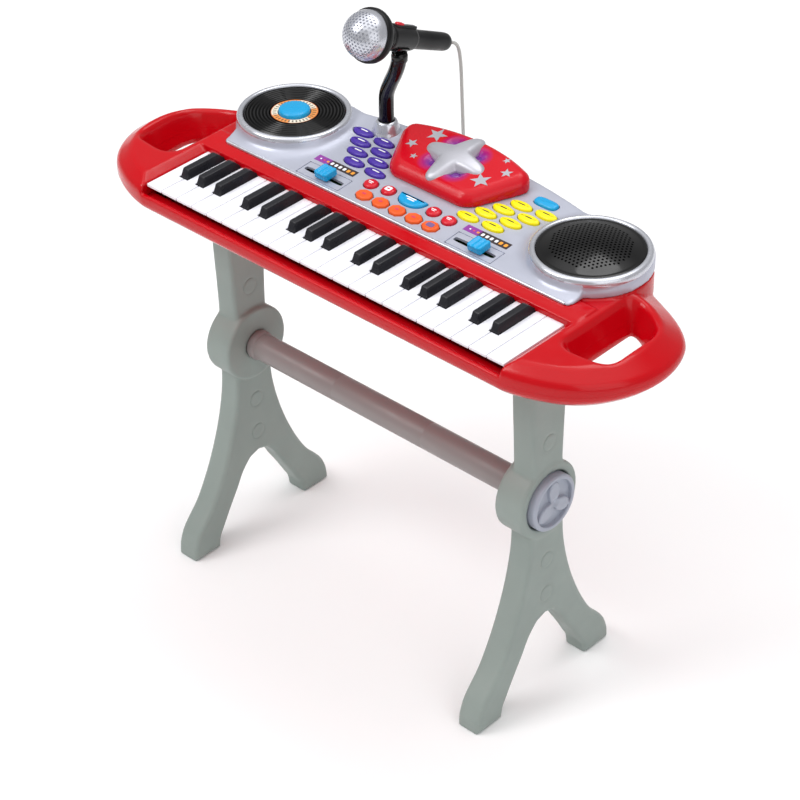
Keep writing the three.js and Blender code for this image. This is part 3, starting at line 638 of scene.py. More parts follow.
def case_blank(x, y, z):
    """The whole red case: leaning sides, sloping underside, two carry grips."""
    flat = polygon(case_outline(), x, y)
    rise = CASE_TOP - LEAN_FROM
    lean = polygon(case_outline(), x, y + LEAN_AHEAD) * rise + (z - LEAN_FROM) * LEAN_IN
    lean = lean / math.hypot(rise, LEAN_IN)
    lean = np.minimum(lean, np.maximum(np.abs(x) - 240, 150 - y))
    body = common(flat, under_slope(flat, z), 3)
    body = common(body, CASE_BOTTOM - z, 3)
    body = common(body, lean, 5)
    body = common(body, z - CASE_TOP, 2.5)
    for side in (-1, 1):
        narrowing = GRIP_TAPER * np.maximum(0, CASE_TOP - 4 - z)
        body = less(body, polygon(handle_outline(side), x, y) + narrowing, 8)
    return body


def behind_case(x, y):
    return polygon(skirt_area(SKIRT + GAP), x, y)


def under_pods(x, y):
    """Distance to the two pods' outer walls, negative inside."""
    return np.hypot(np.abs(x) - POD_X, y - POD_Y) - POD_R


def upper_case(x, y, z):
    """Front rail, key well, rear strip and grips, open under the silver panel."""
    body = case_blank(x, y, z)
    # The side walls stay full height beside the pods.
    shelf = np.maximum(under_pods(x, y) - 1.5, z - DECK_BASE + GAP)
    body = join(body, np.maximum(shelf, CASE_SPLIT - z), 0.5)
    reach = KEY_HALF + 0.6 + np.maximum(0, z - 433.5) * 1.35
    facet = (np.abs(x) - reach) / 1.68
    well = np.maximum(np.maximum(facet, RAIL_INNER - y), y - KEYS_VISIBLE - 1)
    over_rail = np.maximum(np.maximum(facet, y - RAIL_INNER - 1), RAIL_TOP - z)
    body = less(body, well, 1.0)
    body = less(body, over_rail, 1.6)
    slope_top = 439.8 + (y - KEYS_VISIBLE - 3) * 0.14
    strip = block(x, y, z, -KEY_HALF - 12, KEY_HALF + 12, KEYS_VISIBLE + 1, 110, 425, 450)
    strip = common(strip, z - slope_top, 1.0)
    body = join(body, common(strip, z - DECK_BASE + GAP, 0.6), 0.6)
    deck_hole = block(x, y, z, -DECK_HALF + 8, DECK_HALF - 8, DECK_FRONT + 8, 195, 400, 460)
    body = less(body, deck_hole, 0.5)
    body = less(body, behind_case(x, y), 0.3)
    hollow = np.maximum(polygon(case_outline(), x, y) + WALL, np.abs(x) - END_WALL)
    hollow = np.maximum(hollow, z - CASE_TOP + 3.5)
    body = less(body, np.maximum(hollow, KEYS_VISIBLE + 4 - y), 1)
    return np.maximum(body, CASE_SPLIT - SPARE - z)


def lower_case(x, y, z):
    """A tray with two holes for the legs."""
    body = case_blank(x, y, z)
    inner = polygon(case_outline(), x, y) + WALL
    inner = np.maximum(np.maximum(inner, under_slope(inner, z - 3)), np.abs(x) - END_WALL)
    body = less(body, np.maximum(inner, CASE_BOTTOM + 3 - z), 1)
    body = less(body, behind_case(x, y), 0.3)
    for side in (-1, 1):
        middle = side * LEG_X
        leg_hole = block(x, y, z, middle - LEG_THICK / 2 - 0.6, middle + LEG_THICK / 2 + 0.6,
                         LEG_Y - 25, LEG_Y + 25, CASE_BOTTOM - 9, CASE_SPLIT + 9)
        body = less(body, leg_hole, 0.8)
    return np.maximum(body, z - CASE_SPLIT - SPARE)


def case_pieces():
    fine, coarse = 1.5, 1.8
    everything = (-400, 400, -100, 400)
    upper = carve(upper_case, (-327, -10, CASE_SPLIT - SPARE), (327, 228, 443), fine)
    upper = cut_out(upper, box(*everything, CASE_SPLIT - 20, CASE_SPLIT + 0.08))
    piece("upper_shell", upper, "frame", RED_CASE, "upper_case", sharp=60)
    lower = carve(lower_case, (-327, -10, CASE_BOTTOM), (327, 228, CASE_SPLIT + SPARE), coarse)
    lower = cut_out(lower, box(*everything, CASE_SPLIT, CASE_SPLIT + 20))
    piece("lower_shell", lower, "frame", RED_CASE, "lower_case", sharp=60)
    stop = box(-KEY_HALF, KEY_HALF, RAIL_INNER, 8, CASE_SPLIT - 1, 420.8)
    piece("key_stop", stop, "frame", RED_CASE, bevel=0.3)


# ---- silver panel --------------------------------------------------------------------
def panel_shape(x, y, z):
    """A sloping plate with two concave-sided pods, and the wall behind the case."""
    flat = polygon(deck_outline(), x, y)
    top = (z - deck_height(y)) / math.hypot(1, DECK_SLOPE)
    deck = common(flat, top, 2.5)
    ring = under_pods(x, y)
    side_wall = join(ring, ring * 0.55 + (z - deck_height(y) - 6) * 0.5, 4)
    pods = rounded(side_wall, z, DECK_BASE - 20, POD_TOP - 1, 3.2)
    body = join(deck, common(pods, flat, 0.5), 5)
    body = common(body, DECK_BASE - z, 0.3)
    skirt = np.maximum(flat, -flat - SKIRT)
    skirt = np.maximum(skirt, polygon(skirt_area(SKIRT), x, y))
    skirt = np.maximum(np.maximum(skirt, SKIRT_BOTTOM - z), z - DECK_BASE - 3)
    hollow = np.maximum(flat + 2.6, top + 2.6)
    hollow = np.maximum(hollow, 2.6 - ring)
    body = less(body, hollow, 0.5)
    well = ring + POD_R - WELL_R
    body = less(body, well, 2.2)
    return np.minimum(body, skirt)


def button_spots():
    """Every button on the deck: kind, place and half sizes."""
    spots = []
    for i in range(4):
        for side, kind in ((-1, "rhythm"), (1, "tone")):
            spots.append((kind, side * (58.8 + 9.4 * i), 140.3 + 14.2 * i, 12.2, 5.6))
            spots.append((kind, side * (87.6 + 9.3 * i), 142 + 14.2 * i, 12.2, 5.6))
    for i in range(-2, 3):
        spots.append(("pad", 20.9 * i, 107.9, 8.9, 7.2))
    for i, x in enumerate((-49.3, -28.5, 28.5, 49.3)):
        spots.append(("round", x, 125 if i in (0, 3) else 127, 7.3, 6.9))
    spots.append(("moon", 0, 126, 16.6, 7.2))
    spots.append(("power", 103, 199.5, 13, 5.8))
    return spots


def superellipse(rx, ry, power, count):
    points = []
    for i in range(count):
        a = 2 * math.pi * i / count
        c, s = math.cos(a), math.sin(a)
        points.append((rx * math.copysign(abs(c) ** (2 / power), c),
                       ry * math.copysign(abs(s) ** (2 / power), s)))
    return points


def button_outline(kind, rx, ry):
    if kind == "pad":
        return [(rx * math.cos(a) * 1.04, ry * math.sin(a) * 1.04)
                for a in (math.pi * (2 * i + 1) / 8 for i in range(8))]
    if kind == "moon":
        flat = [(x, ry) for x in np.linspace(rx - 1.2, 1.2 - rx, 12)]
        bow = trace((-rx, ry - 1.2), ((-rx * 0.86, -ry), (0, -ry)),
                    ((rx * 0.86, -ry), (rx, ry - 1.2)), steps=14)
        return flat + bow
    if kind == "power":
        return superellipse(rx, ry, 3.2, 48)
    return superellipse(rx, ry, 2, 48)


def on_deck(x, y):
    """Matrix that stands a flat shape on the sloping deck."""
    turn = Matrix.Rotation(math.atan(DECK_SLOPE), 4, "X")
    return Matrix.Translation((x, y, deck_height(y))) @ turn


def grown(outline, amount):
    """An outline pushed outwards from its middle by a fixed amount."""
    made = []
    count = len(outline)
    for i, (x, y) in enumerate(outline):
        (ax, ay), (bx, by) = outline[i - 1], outline[(i + 1) % count]
        length = math.hypot(bx - ax, by - ay) or 1
        made.append((x + amount * (by - ay) / length, y - amount * (bx - ax) / length))
    return made


def counter_clockwise(outline):
    area = sum(ax * by - bx * ay for (ax, ay), (bx, by) in zip(outline, outline[1:] + outline[:1]))
    return outline if area > 0 else outline[::-1]


def cap_mesh(outline, levels):
    """A cap from (inset, height) levels of one outline."""
    outline = counter_clockwise(outline)
    rings = [[(x, y, z) for x, y in grown(outline, -inset)] for inset, z in levels]
    return loft(rings)


CAP_LEVELS = [(0, -4.5), (0, 0.9), (0.2, 1.5), (0.7, 2.15), (1.5, 2.6), (2.5, 2.88), (3.6, 3.0)]
PAD_LEVELS = [(0, -4.5), (0, 1.1), (0.3, 1.9), (1.3, 2.6), (1.9, 2.8), (2.2, 2.7)]
CAP_TOP = 3.0
SLIDER_X, SLIDER_Y = 95, 108.5


def panel_cutters():
    """Holes for the buttons and sliders, and the engraved frames round the sliders."""
    cutters = []
    for kind, x, y, rx, ry in button_spots():
        outline = counter_clockwise(button_outline(kind, rx, ry))
        hole = cap_mesh(grown(outline, 0.8), [(0, -9), (0, 0.0), (-0.5, 0.6), (-0.5, 6)])
        hole.transform(on_deck(x, y))
        cutters.append(hole)
    for side in (-1, 1):
        slot = cap_mesh(superellipse(24.5, 3.0, 6, 40), [(0, -9), (0, 9)])
        slot.transform(on_deck(side * SLIDER_X, SLIDER_Y))
        cutters.append(slot)
        for x0, x1, y0, y1 in ((-28, -27, -10.5, 10.5), (-27, 28, 9.5, 10.5),
                               (27, 28, -10.5, 9.5), (-27, 27, -10.5, -9.5)):
            line = box(x0, x1, y0, y1, -0.8, 2)
            line.transform(on_deck(side * SLIDER_X, SLIDER_Y))
            cutters.append(line)
    return merged(cutters)


def panel_pieces():
    mesh = carve(panel_shape, (-245, 93, 410), (245, 228, 460), 1.5)
    mesh = cut_out(mesh, panel_cutters())
    piece("silver_panel", mesh, "frame", SILVER, "control_panel", sharp=50)
    base = deck_height(SOCKET[1]) - 1.5
    top = SOCKET[2]
    profile = [(ARM_R + 0.4, base), (15.0, base), (14.6, base + 1.6), (13.6, base + 2.6),
               (13.1, base + 4.5), (11.4, base + 9.5), (10.3, top - 1.2), (9.6, top - 0.3),
               (8.4, top), (ARM_R + 0.4, top - 0.6)]
    mesh = lathe(profile, 64, (SOCKET[0], SOCKET[1], 0), hollow=True)
    piece("arm_socket", mesh, "frame", BRIGHT_SILVER_AND_HIGHLIGHT)
    # The pod rims take the lighter silver as a painted highlight.
    for side, name in ((-1, "turntable"), (1, "speaker")):
        lip = [(WELL_R, POD_TOP - 8), (WELL_R, POD_TOP - 1.2), (WELL_R + 0.5, POD_TOP),
               (WELL_R + 1.4, POD_TOP + 0.7), (WELL_R + 2.6, POD_TOP + 0.9),
               (POD_R - 2, POD_TOP + 0.5), (POD_R - 0.9, POD_TOP - 0.3),
               (POD_R - 0.1, POD_TOP - 1.7), (POD_R + 0.35, POD_TOP - 3.6),
               (POD_R + 0.35, POD_TOP - 6), (POD_R - 1, POD_TOP - 8)]
        mesh = lathe(lip[::-1], 144, (side * POD_X, POD_Y, 0), hollow=True)
        piece(f"{name}_rim", mesh, "frame", BRIGHT_SILVER_AND_HIGHLIGHT, sharp=50)
    # A thin bar along the panel's front edge, in the lighter silver as a painted highlight line.
    edge = [(94.0, 441.9), (94.0, 443.0), (94.3, 443.8), (94.9, 444.25), (95.6, 444.35),
            (96.4, 444.3), (96.4, 441.9)]
    rings = [[(x, y, z) for y, z in edge] for x in (5 - DECK_HALF, DECK_HALF - 5)]
    piece("panel_front_edge", loft(rings), "frame", BRIGHT_SILVER_AND_HIGHLIGHT, sharp=60)


# ---- buttons -------------------------------------------------------------------------
BUTTON_KINDS = {                      # body, surface and slot of each kind
    "rhythm": ("rhythm_buttons", PURPLE, "button_purple"),
    "tone": ("tone_buttons", YELLOW, "button_yellow"),
    "pad": ("drum_pads", ORANGE, "pad_orange"),
    "round": ("function_buttons", RED_BUTTON, "button_red"),
    "moon": ("function_buttons", BLUE, "button_blue"),
    "power": ("power_button", BLUE, "button_blue"),
}


def pill(x, y, long, wide, above, place):
    """A thin printed mark with round ends, standing on a cap."""
    outline = counter_clockwise(superellipse(long / 2, wide / 2, 4, 20))
    mesh = cap_mesh([(a + x, b + y) for a, b in outline], [(0, above - 0.3), (0, above)])
    mesh.transform(place)
    return mesh


def button_marks(kind, index, place):
    """Plain marks instead of lettering, with the ink that each is printed in."""
    if kind == "rhythm":
        return [(pill(0.6, 0.9, 9, 1.5, CAP_TOP + 0.05, place), WHITE_INK)]
    if kind == "tone":
        return [(pill(0, 0.2, 8, 1.3, CAP_TOP + 0.05, place), BLACK_INK)]
    if kind == "moon":
        return [(pill(-1, 2.7, 13, 1.7, CAP_TOP + 0.05, place), WHITE_INK),
                (pill(0.5, 0.1, 9, 1.7, CAP_TOP + 0.05, place), WHITE_INK)]
    if kind == "round" and index == 1:
        return [(pill(0, 0.2, 7, 6.4, CAP_TOP + 0.05, place), WHITE_INK),
                (pill(0, 0.2, 3.4, 1.4, CAP_TOP + 0.1, place), RED_BUTTON)]
    if kind == "round":
        return [(pill(-0.4, 1.1, 6, 1.2, CAP_TOP + 0.05, place), WHITE_INK),
                (pill(0.2, -0.9, 4.4, 1.0, CAP_TOP + 0.05, place), WHITE_INK)]
    if kind == "pad":
        ink = MAUVE_INK if index == 4 else PINK_INK
        size = (8.5, 6.2) if index == 4 else (4.6, 2.6)
        return [(pill(0, 0, *size, CAP_TOP - 0.1, place), ink)]
    return []


def button_pieces():
    seen = {}
    for kind, x, y, rx, ry in button_spots():
        index = seen.get(kind, 0)
        seen[kind] = index + 1
        body, surface, slot = BUTTON_KINDS[kind]
        place = on_deck(x, y)
        levels = PAD_LEVELS if kind == "pad" else CAP_LEVELS
        mesh = cap_mesh(button_outline(kind, rx, ry), levels)
        mesh.transform(place)
        name = f"{kind}_button_{index + 1}"
        piece(name, mesh, body, surface, body, sharp=50)
        for number, (mark, ink) in enumerate(button_marks(kind, index, place)):
            piece(f"{name}_mark_{number + 1}", mark, body, ink)


def slider_shape(x, y, z):
    """A cap with two soft finger grooves across its top."""
    flat = np.hypot(np.maximum(np.abs(x) - 5.8, 0), np.maximum(np.abs(y) - 5.8, 0)) - 2.4
    cap = rounded(flat, z, 1.0, 9.0, 1.8)
    for groove in (-2.7, 2.7):
        cap = less(cap, np.hypot(x - groove, z - 10.3) - 2.3, 1.2)
    return cap


def slider_pieces():
    for name, side, offset in (("tempo", -1, 2.7), ("volume", 1, 5.8)):
        place = on_deck(side * SLIDER_X + offset, SLIDER_Y)
        cap = carve(slider_shape, (-9, -9, 0), (9, 9, 10), 0.45)
        stem = box(-3, 3, -1.5, 1.5, -5, 2)
        for mesh, part, extra in ((cap, "cap", f"{name}_slider"), (stem, "stem", None)):
            mesh.transform(place)
            piece(f"{name}_slider_{part}", mesh, f"{name}_slider", BLUE,
                  extra)


def label_strip(name, x0, x1, y):
    """A printed strip above a slider: violet at one end, dark at the other, with dots."""
    middle, half = (x0 + x1) / 2, (x1 - x0) / 2
    place = on_deck(middle, y)
    strip = cap_mesh([(-half, -4.6), (half, -4.6), (half, 4.6), (-half, 4.6)],
                     [(0, -0.4), (0, 0.06)])
    strip.transform(place)
    piece(f"{name}_strip", strip, "frame", STRIP)
    marks = [(-0.78, 1.8, 1.8, WHITE_INK), (-0.6, 2.0, 2.0, PINK_INK),
             (-0.42, 2.6, 2.6, ORANGE_INK),
             *[(share, 3.2, 4.0, WHITE_INK) for share in (-0.2, 0.0, 0.2, 0.42)],
             *[(share, 3.6, 4.2, ORANGE_INK) for share in (0.62, 0.84)]]
    for number, (share, long, wide, ink) in enumerate(marks):
        mesh = pill(share * half, 0, long, wide, 0.14, place)
        piece(f"{name}_strip_mark_{number + 1}", mesh, "frame", ink)


def strip_surface():
    surface = Surface("label_strip", Roughness=0.35)
    split = surface.node("ShaderNodeSeparateXYZ", Vector=surface.place).outputs["X"]
    # Both strips are about 52 mm long; the violet end is the first quarter of each.
    left = surface.maths("MODULO", surface.maths("ADD", split, 0.1235), 0.1905)
    blend = surface.ramp(left, 0.0, 1.0, 0.016, 0.019)
    cloud = surface.noise(300.0, 3.0)
    violet = surface.mix(cloud, linear((150, 60, 160)), linear((126, 44, 146)))
    dark = surface.mix(cloud, linear((60, 44, 40)), linear((34, 28, 34)))
    surface.colour(surface.mix(blend, violet, dark))
    surface.bump(cloud, 0.1, 0.0001)
    return surface


STRIP = strip_surface()


# ---- turntable and loudspeaker -------------------------------------------------------
LABEL_R = 23.4
BUTTON_R = 15.7


def grooved_profile():
    """Platter top: ridges with a rounded crest between narrow grooves."""
    top = POD_TOP - 0.2
    profile = [(BUTTON_R + 0.6, 447), (WELL_R - 4, 447), (WELL_R - 0.9, 452),
               (WELL_R - 0.9, top - 1.6), (WELL_R - 1.4, top - 0.4), (WELL_R - 2.2, top)]
    ridges, deep = 7, 1.9
    width = (WELL_R - 2.2 - LABEL_R - 0.8) / ridges
    for i in range(ridges):
        outer = WELL_R - 2.2 - i * width
        for share in (0.12, 0.24, 0.38, 0.5, 0.62, 0.76, 0.88, 1.0):
            drop = deep * abs(math.cos(math.pi * share)) ** 3
            profile.append((outer - width * share, top - drop))
    profile += [(LABEL_R + 0.2, top), (LABEL_R, top - 0.6), (BUTTON_R + 0.6, top - 0.6)]
    return profile


def label_surface():
    """The ring round the button: cream and orange arcs with small radial ticks."""
    surface = Surface("turntable_label", Roughness=0.35)
    centre = Vector((-POD_X, POD_Y + KEY_FRONT, 0)) * MM
    moved = surface.node("ShaderNodeVectorMath", Vector=surface.place)
    moved.operation = "SUBTRACT"
    moved.inputs[1].default_value = centre
    split = surface.node("ShaderNodeSeparateXYZ", Vector=moved.outputs[0])
    angle = surface.maths("ARCTAN2", split.outputs["Y"], split.outputs["X"])
    ticks = surface.maths("SINE", surface.maths("MULTIPLY", angle, 34.0))
    arcs = surface.maths("SINE", surface.maths("MULTIPLY", angle, 3.0))
    flat = surface.node("ShaderNodeCombineXYZ", X=split.outputs["X"], Y=split.outputs["Y"])
    length = surface.node("ShaderNodeVectorMath", Vector=flat.outputs[0])
    length.operation = "LENGTH"
    radius = length.outputs["Value"]
    from_band = surface.maths("ABSOLUTE", surface.maths("SUBTRACT", radius, 0.0197))
    band = surface.maths("SUBTRACT", 1.0, surface.ramp(from_band, 0.0, 1.0, 0.0017, 0.002))
    base = surface.mix(surface.ramp(arcs, 0.0, 1.0, -0.2, 0.2), linear((236, 226, 206)),
                       linear((232, 150, 74)))
    inked = surface.maths("MULTIPLY", band, surface.ramp(ticks, 0.0, 1.0, 0.1, 0.4))
    colour = surface.mix(surface.maths("MULTIPLY", inked, 0.85), base, linear((70, 54, 44)))
    rim = surface.ramp(radius, 0.0, 1.0, 0.0224, 0.0227)
    surface.colour(surface.mix(rim, colour, linear((190, 96, 40))))
    surface.bump(surface.noise(900.0), 0.08, 0.0001)
    return surface


def turntable_pieces():
    place = (-POD_X, POD_Y, 0)
    platter = lathe(grooved_profile(), 128, place, hollow=True)
    piece("platter_disc", platter, "turntable_platter", BLACK_GLOSS,
          "turntable_platter", sharp=50)
    top = POD_TOP - 0.8
    section = [(BUTTON_R + 0.8, top - 0.1), (LABEL_R - 0.2, top - 0.1),
               (LABEL_R - 0.2, top + 0.25), (BUTTON_R + 0.8, top + 0.25)]
    ring = lathe(section, 96, place, hollow=True)
    piece("platter_label", ring, "turntable_platter", label_surface())
    crown = [(0, 1.0), (0.3, 2.2), (1.2, 3.2), (2.8, 3.8), (6, 4.2), (BUTTON_R - 5, 4.5),
             (BUTTON_R, 4.6)]
    button = lathe([(0, 448), (BUTTON_R, 448)]
                   + [(BUTTON_R - inset, POD_TOP + rise) for inset, rise in crown], 72, place)
    piece("platter_button", button, "turntable_button", BLUE,
          "turntable_button", sharp=50)


def grille_holes():
    """Staggered rows of round holes inside a circle, as one cutter."""
    pitch, reach, radius = 4.1, 38.5, 1.15
    row = pitch * math.sqrt(3) / 2
    cutters = []
    for j in range(-12, 13):
        for i in range(-12, 13):
            x, y = (i + 0.5 * (j % 2)) * pitch, j * row
            if math.hypot(x, y) < reach:
                ring = circle(radius, 10, 0, (x, y))
                cutters.append(loft([[(a, b, 452) for a, b, _ in ring],
                                     [(a, b, 480) for a, b, _ in ring]]))
    return merged(cutters)


def grille_profile():
    outer, crown, wall = WELL_R - GAP, POD_TOP + 7.4, 1.6
    arch = [(r, crown - 7.2 * (r / 45) ** 2) for r in np.linspace(0, 44, 15)]
    lip = [(45.5, POD_TOP + 0.2), (47.0, POD_TOP - 0.2), (48.6, POD_TOP + 0.1),
           (outer, POD_TOP - 0.6)]
    outside = [(0, crown)] + arch[1:] + lip
    inside = [(r, z - wall) for r, z in arch[::-1]]
    return outside + [(outer, POD_TOP - 6), (46, POD_TOP - 6)] + inside


def speaker_pieces():
    place = (POD_X, POD_Y, 0)
    shell = lathe(grille_profile()[::-1], 120)
    shell = cut_out(shell, grille_holes())
    shell.transform(Matrix.Translation(place))
    piece("grille_shell", shell, "frame", BLACK_GLOSS, "speaker_grille",
          sharp=40)
    cone = lathe([(45, 452.6), (45, 450.4), (38, 450), (12, 438), (0, 437), (0, 438.4), (9, 441.5),
                  (12, 439.6), (37, 451.6), (41, 453.2)][::-1], 72, place)
    piece("driver_cone", cone, "frame", DARK)
    magnet = lathe([(0, 424), (21, 424), (22, 425), (22, 431), (14, 432), (14, 437), (0, 437)],
                   48, place)
    piece("driver_magnet", magnet, "frame", METAL)


# ---- light dome ----------------------------------------------------------------------
DOME_SLOPE = 0.16
STAR_TURN = -3                       # degrees
WELL_REACH = 20.5                    # from the star's middle to the glowing wells
WELLS = [(STAR_PLACE[0] + x, STAR_PLACE[1] + y)
         for x, y in star_outline(2, WELL_REACH, WELL_REACH, 45 + STAR_TURN)]
DECAL_STARS = [                      # place, size and turn in degrees
    (-36.8, 203.9, 10.6, 20), (44.3, 174.2, 10.6, 60), (-48.8, 181.3, 6.6, 10),
    (57.4, 195.6, 6.6, 50), (-33.9, 167.4, 4.2, 30), (45.5, 209.8, 4.2, 0)]


def dome_top(y):
    return 461.5 + DOME_SLOPE * (y - DOME_FRONT)


def dome_shape(x, y, z):
    flat = polygon(dome_outline(), x, y)
    top = (z - dome_top(y)) / math.hypot(1, DOME_SLOPE)
    rise, lean_in = 7, 6.5
    lean = (flat * rise + (top + rise) * lean_in) / math.hypot(rise, lean_in)
    body = common(common(flat, lean, 2.2), top, 3.0)
    for wx, wy in WELLS:
        away = np.hypot(x - wx, y - wy)
        dent = np.sqrt(away ** 2 + (z - dome_top(wy) - 7) ** 2) - 11
        body = less(body, dent, 3)
    return np.maximum(body, deck_height(y) + GAP - z)


def dome_surface():
    """Red with a painted violet glow round the four wells."""
    surface = Surface("dome_red", Specular_IOR_Level=0.3)
    cloud = surface.noise(16.0, 4.0)
    red = surface.mix(cloud, linear((194, 6, 24)), linear((208, 12, 34)))
    # Painted glow: the red turns violet near each well.
    painted_glow = 0.0
    for wx, wy in WELLS:
        point = in_frame((wx, wy, dome_top(wy) - 3))
        away = surface.node("ShaderNodeVectorMath", Vector=surface.place)
        away.operation = "DISTANCE"
        away.inputs[1].default_value = point
        glow_here = surface.ramp(away.outputs["Value"], 1.0, 0.0, 0.006, 0.0165)
        painted_glow = glow_here if painted_glow == 0.0 else surface.maths("MAXIMUM", painted_glow, glow_here)
    colour = surface.mix(painted_glow, red, linear((136, 40, 140)))
    surface.colour(colour)
    surface.roughness(surface.ramp(surface.noise(60.0, 5.0), 0.16, 0.26))
    surface.bump(surface.noise(450.0), 0.05, 0.0001)
    return surface


def star_shape(x, y, z):
    """A puffed four-armed star, highest in the middle; z is above the dome."""
    tip, waist = 36.5, 12.8
    outline = []
    for arm in range(4):
        c, s = math.cos(arm * math.pi / 2), math.sin(arm * math.pi / 2)
        side = trace((tip - 6, -8.2), ((tip, -6.4), (tip + 0.5, -1.0)),
                     ((tip - 0.5, 6), (tip - 8, 8.4)), ((22, 10.4), (waist, waist)), steps=6)
        outline += [(u * c - v * s, u * s + v * c) for u, v in side]
    flat = polygon(outline, x, y)
    away = np.hypot(x, y)
    top = z - 8.4 + away * away * 0.0047
    body = common(flat + np.maximum(z, 0) * 0.55, top, 3.2)
    return np.maximum(body, -4 - z)


def dome_pieces():
    mesh = carve(dome_shape, (-78, 146, 447), (78, 227, 476), 1.1)
    piece("dome_shell", mesh, "frame", dome_surface(), "light_dome", sharp=55)
    slope = Matrix.Rotation(math.atan(DOME_SLOPE), 4, "X")
    tilt = slope @ Matrix.Rotation(math.radians(STAR_TURN), 4, "Z")
    star = carve(star_shape, (-37, -37, -4), (37, 37, 9), 0.8)
    star.transform(Matrix.Translation((*STAR_PLACE, dome_top(STAR_PLACE[1]) - 1)) @ tilt)
    piece("dome_star", star, "frame", SILVER_SATIN, sharp=60)
    for i, (wx, wy) in enumerate(WELLS):
        base = dome_top(wy) - 4.6
        lens = lathe([(0, 0), (6.5, 0), (6.2, 0.8), (4.4, 1.6), (2.2, 2.0), (0, 2.1)], 32,
                     (wx, wy, base))
        piece(f"dome_lens_{i + 1}", lens, "frame", LENS)
    for i, (x, y, size, turn) in enumerate(DECAL_STARS):
        mesh = cap_mesh(star_outline(5, size, size * 0.42, turn), [(0, -0.6), (0, 0.18)])
        mesh.transform(Matrix.Translation((x, y, dome_top(y))) @ slope)
        piece(f"dome_decal_star_{i + 1}", mesh, "frame", SILVER_SATIN)


# ---- stand ---------------------------------------------------------------------------
MARKS = (295, 157.5, 116.7)          # heights of the round marks on a leg's two faces


def leg_outline():
    """Side view in Y and Z: a post that spreads into two curved feet."""
    outer = [(24.2, LEG_TOP), (24.2, 350), (21.5, 266), (24, 190), (27.5, 160), (35, 130),
             (45, 102), (57, 76), (70, 54), (84, 38), (92, 27), (97, 13), (98, 0)]
    arch = [(62, 0), (60, 12), (55, 21), (43, 42), (32.5, 59), (23, 76), (12, 88)]
    half = [tuple(p) for line in (outer, arch) for p in smooth_route(line, 6)]
    return [(LEG_Y + y, z) for y, z in half] + [(LEG_Y, 91.5)] + [
        (LEG_Y - y, z) for y, z in reversed(half)]


def leg_shape(x, y, z):
    """The right leg with its round hub, knob recess and crossbar socket."""
    flat = polygon(leg_outline(), y, z)
    body = rounded(flat, x, LEG_X - LEG_THICK / 2, LEG_X + LEG_THICK / 2, 4.6)
    away = np.hypot(y - LEG_Y, z - HUB_Z)
    hub = rounded(away - HUB_R, x, HUB_IN, HUB_OUT, 3)
    body = join(body, hub, 2.5)
    recess = np.maximum(away - KNOB_R - 1.5, HUB_OUT - 8 - x)
    body = less(body, recess, 1.6)
    socket = np.maximum(away - BAR_R - GAP, x - HUB_IN - 14)
    body = less(body, socket, 1.2)
    for height in MARKS:
        mark = np.hypot(y - LEG_Y, z - height)
        body = less(body, np.maximum(mark - 9.4, LEG_THICK / 2 - 0.8 - np.abs(x - LEG_X)), 0.7)
    return body


def mirrored(mesh):
    """The same mesh on the left side."""
    made = mesh.copy()
    made.transform(Matrix.Scale(-1, 4, (1, 0, 0)))
    made.flip_normals()
    return made


def knob_shape(x, y, z):
    """A round knob with a three-lobed grip in a sunk face; x is outwards, from its seat."""
    away = np.hypot(y, z)
    face = KNOB_OUT - HUB_OUT + 7.5
    body = rounded(away - KNOB_R, x, 0, face, 2.4)
    body = less(body, np.maximum(away - 24.5, face - 4.5 - x), 1.2)
    lobes = 14.5 + 9.5 * np.cos(3 * (np.arctan2(z, y) - math.pi / 2))
    grip = rounded((away - lobes) * 0.6, x, 1, face - 0.3, 1.6)
    body = join(body, grip, 1.0)
    return less(body, np.sqrt(away ** 2 + ((x - face - 2) * 1.4) ** 2) - 6.5, 1.2)


def stand_pieces():
    leg = carve(leg_shape, (174, -15, 0), (210, 184, 421), 1.7)
    knob = carve(knob_shape, (0, -30, -30), (15, 30, 30), 0.8)
    knob.transform(Matrix.Translation((HUB_OUT - 7.5, LEG_Y, HUB_Z)))
    turn = Matrix.Rotation(math.pi / 2, 4, "Y")
    for side, name in ((1, "right"), (-1, "left")):
        shape = leg.copy() if side > 0 else mirrored(leg)
        piece(f"{name}_leg_frame", shape, "frame", STAND, f"{name}_leg",
              sharp=60)
        shape = knob.copy() if side > 0 else mirrored(knob)
        piece(f"{name}_knob_head", shape, f"{name}_knob", KNOB,
              f"{name}_knob", sharp=60)
        for number, (height, face) in enumerate(itertools.product(MARKS, (-1, 1))):
            plug = lathe([(0, -1), (8.5, -1), (8.5, -0.5), (8.0, -0.15), (4.0, -0.3),
                          (0, -0.4)], 40)
            plug.transform(Matrix.Translation((LEG_X + face * LEG_THICK / 2, LEG_Y, height))
                           @ Matrix.Rotation(face * math.pi / 2, 4, "Y"))
            plug = plug if side > 0 else mirrored(plug)
            piece(f"{name}_leg_plug_{number + 1}", plug, "frame", STAND)
    reach = HUB_IN + 13
    half = [(0, reach), (BAR_R - 1, reach), (BAR_R, reach - 1), (BAR_R, HUB_IN + 0.5),
            (BAR_R, HUB_IN - 1), (BAR_R + 1.5, HUB_IN - 1.4), (BAR_R + 1.5, HUB_IN - 7),
            (BAR_R + 0.7, HUB_IN - 8.4), (BAR_R, HUB_IN - 8.8), (BAR_R, 60), (BAR_R - 0.15, 59.6),
            (BAR_R - 0.15, 59), (BAR_R, 58.6)]
    profile = half + [(r, -z) for r, z in reversed(half)]
    bar = lathe(profile[::-1], 64, (0, LEG_Y, HUB_Z), turn)
    piece("crossbar_tube", bar, "frame", BAR, "crossbar", sharp=40)


# ---- microphone ----------------------------------------------------------------------
def mic_turn():
    """Turns Z to the microphone's axis and keeps X sideways."""
    side = Vector((1, 0, 0))
    up = MIC_AXIS.cross(side)
    return Matrix((side, up, MIC_AXIS)).transposed().to_4x4()


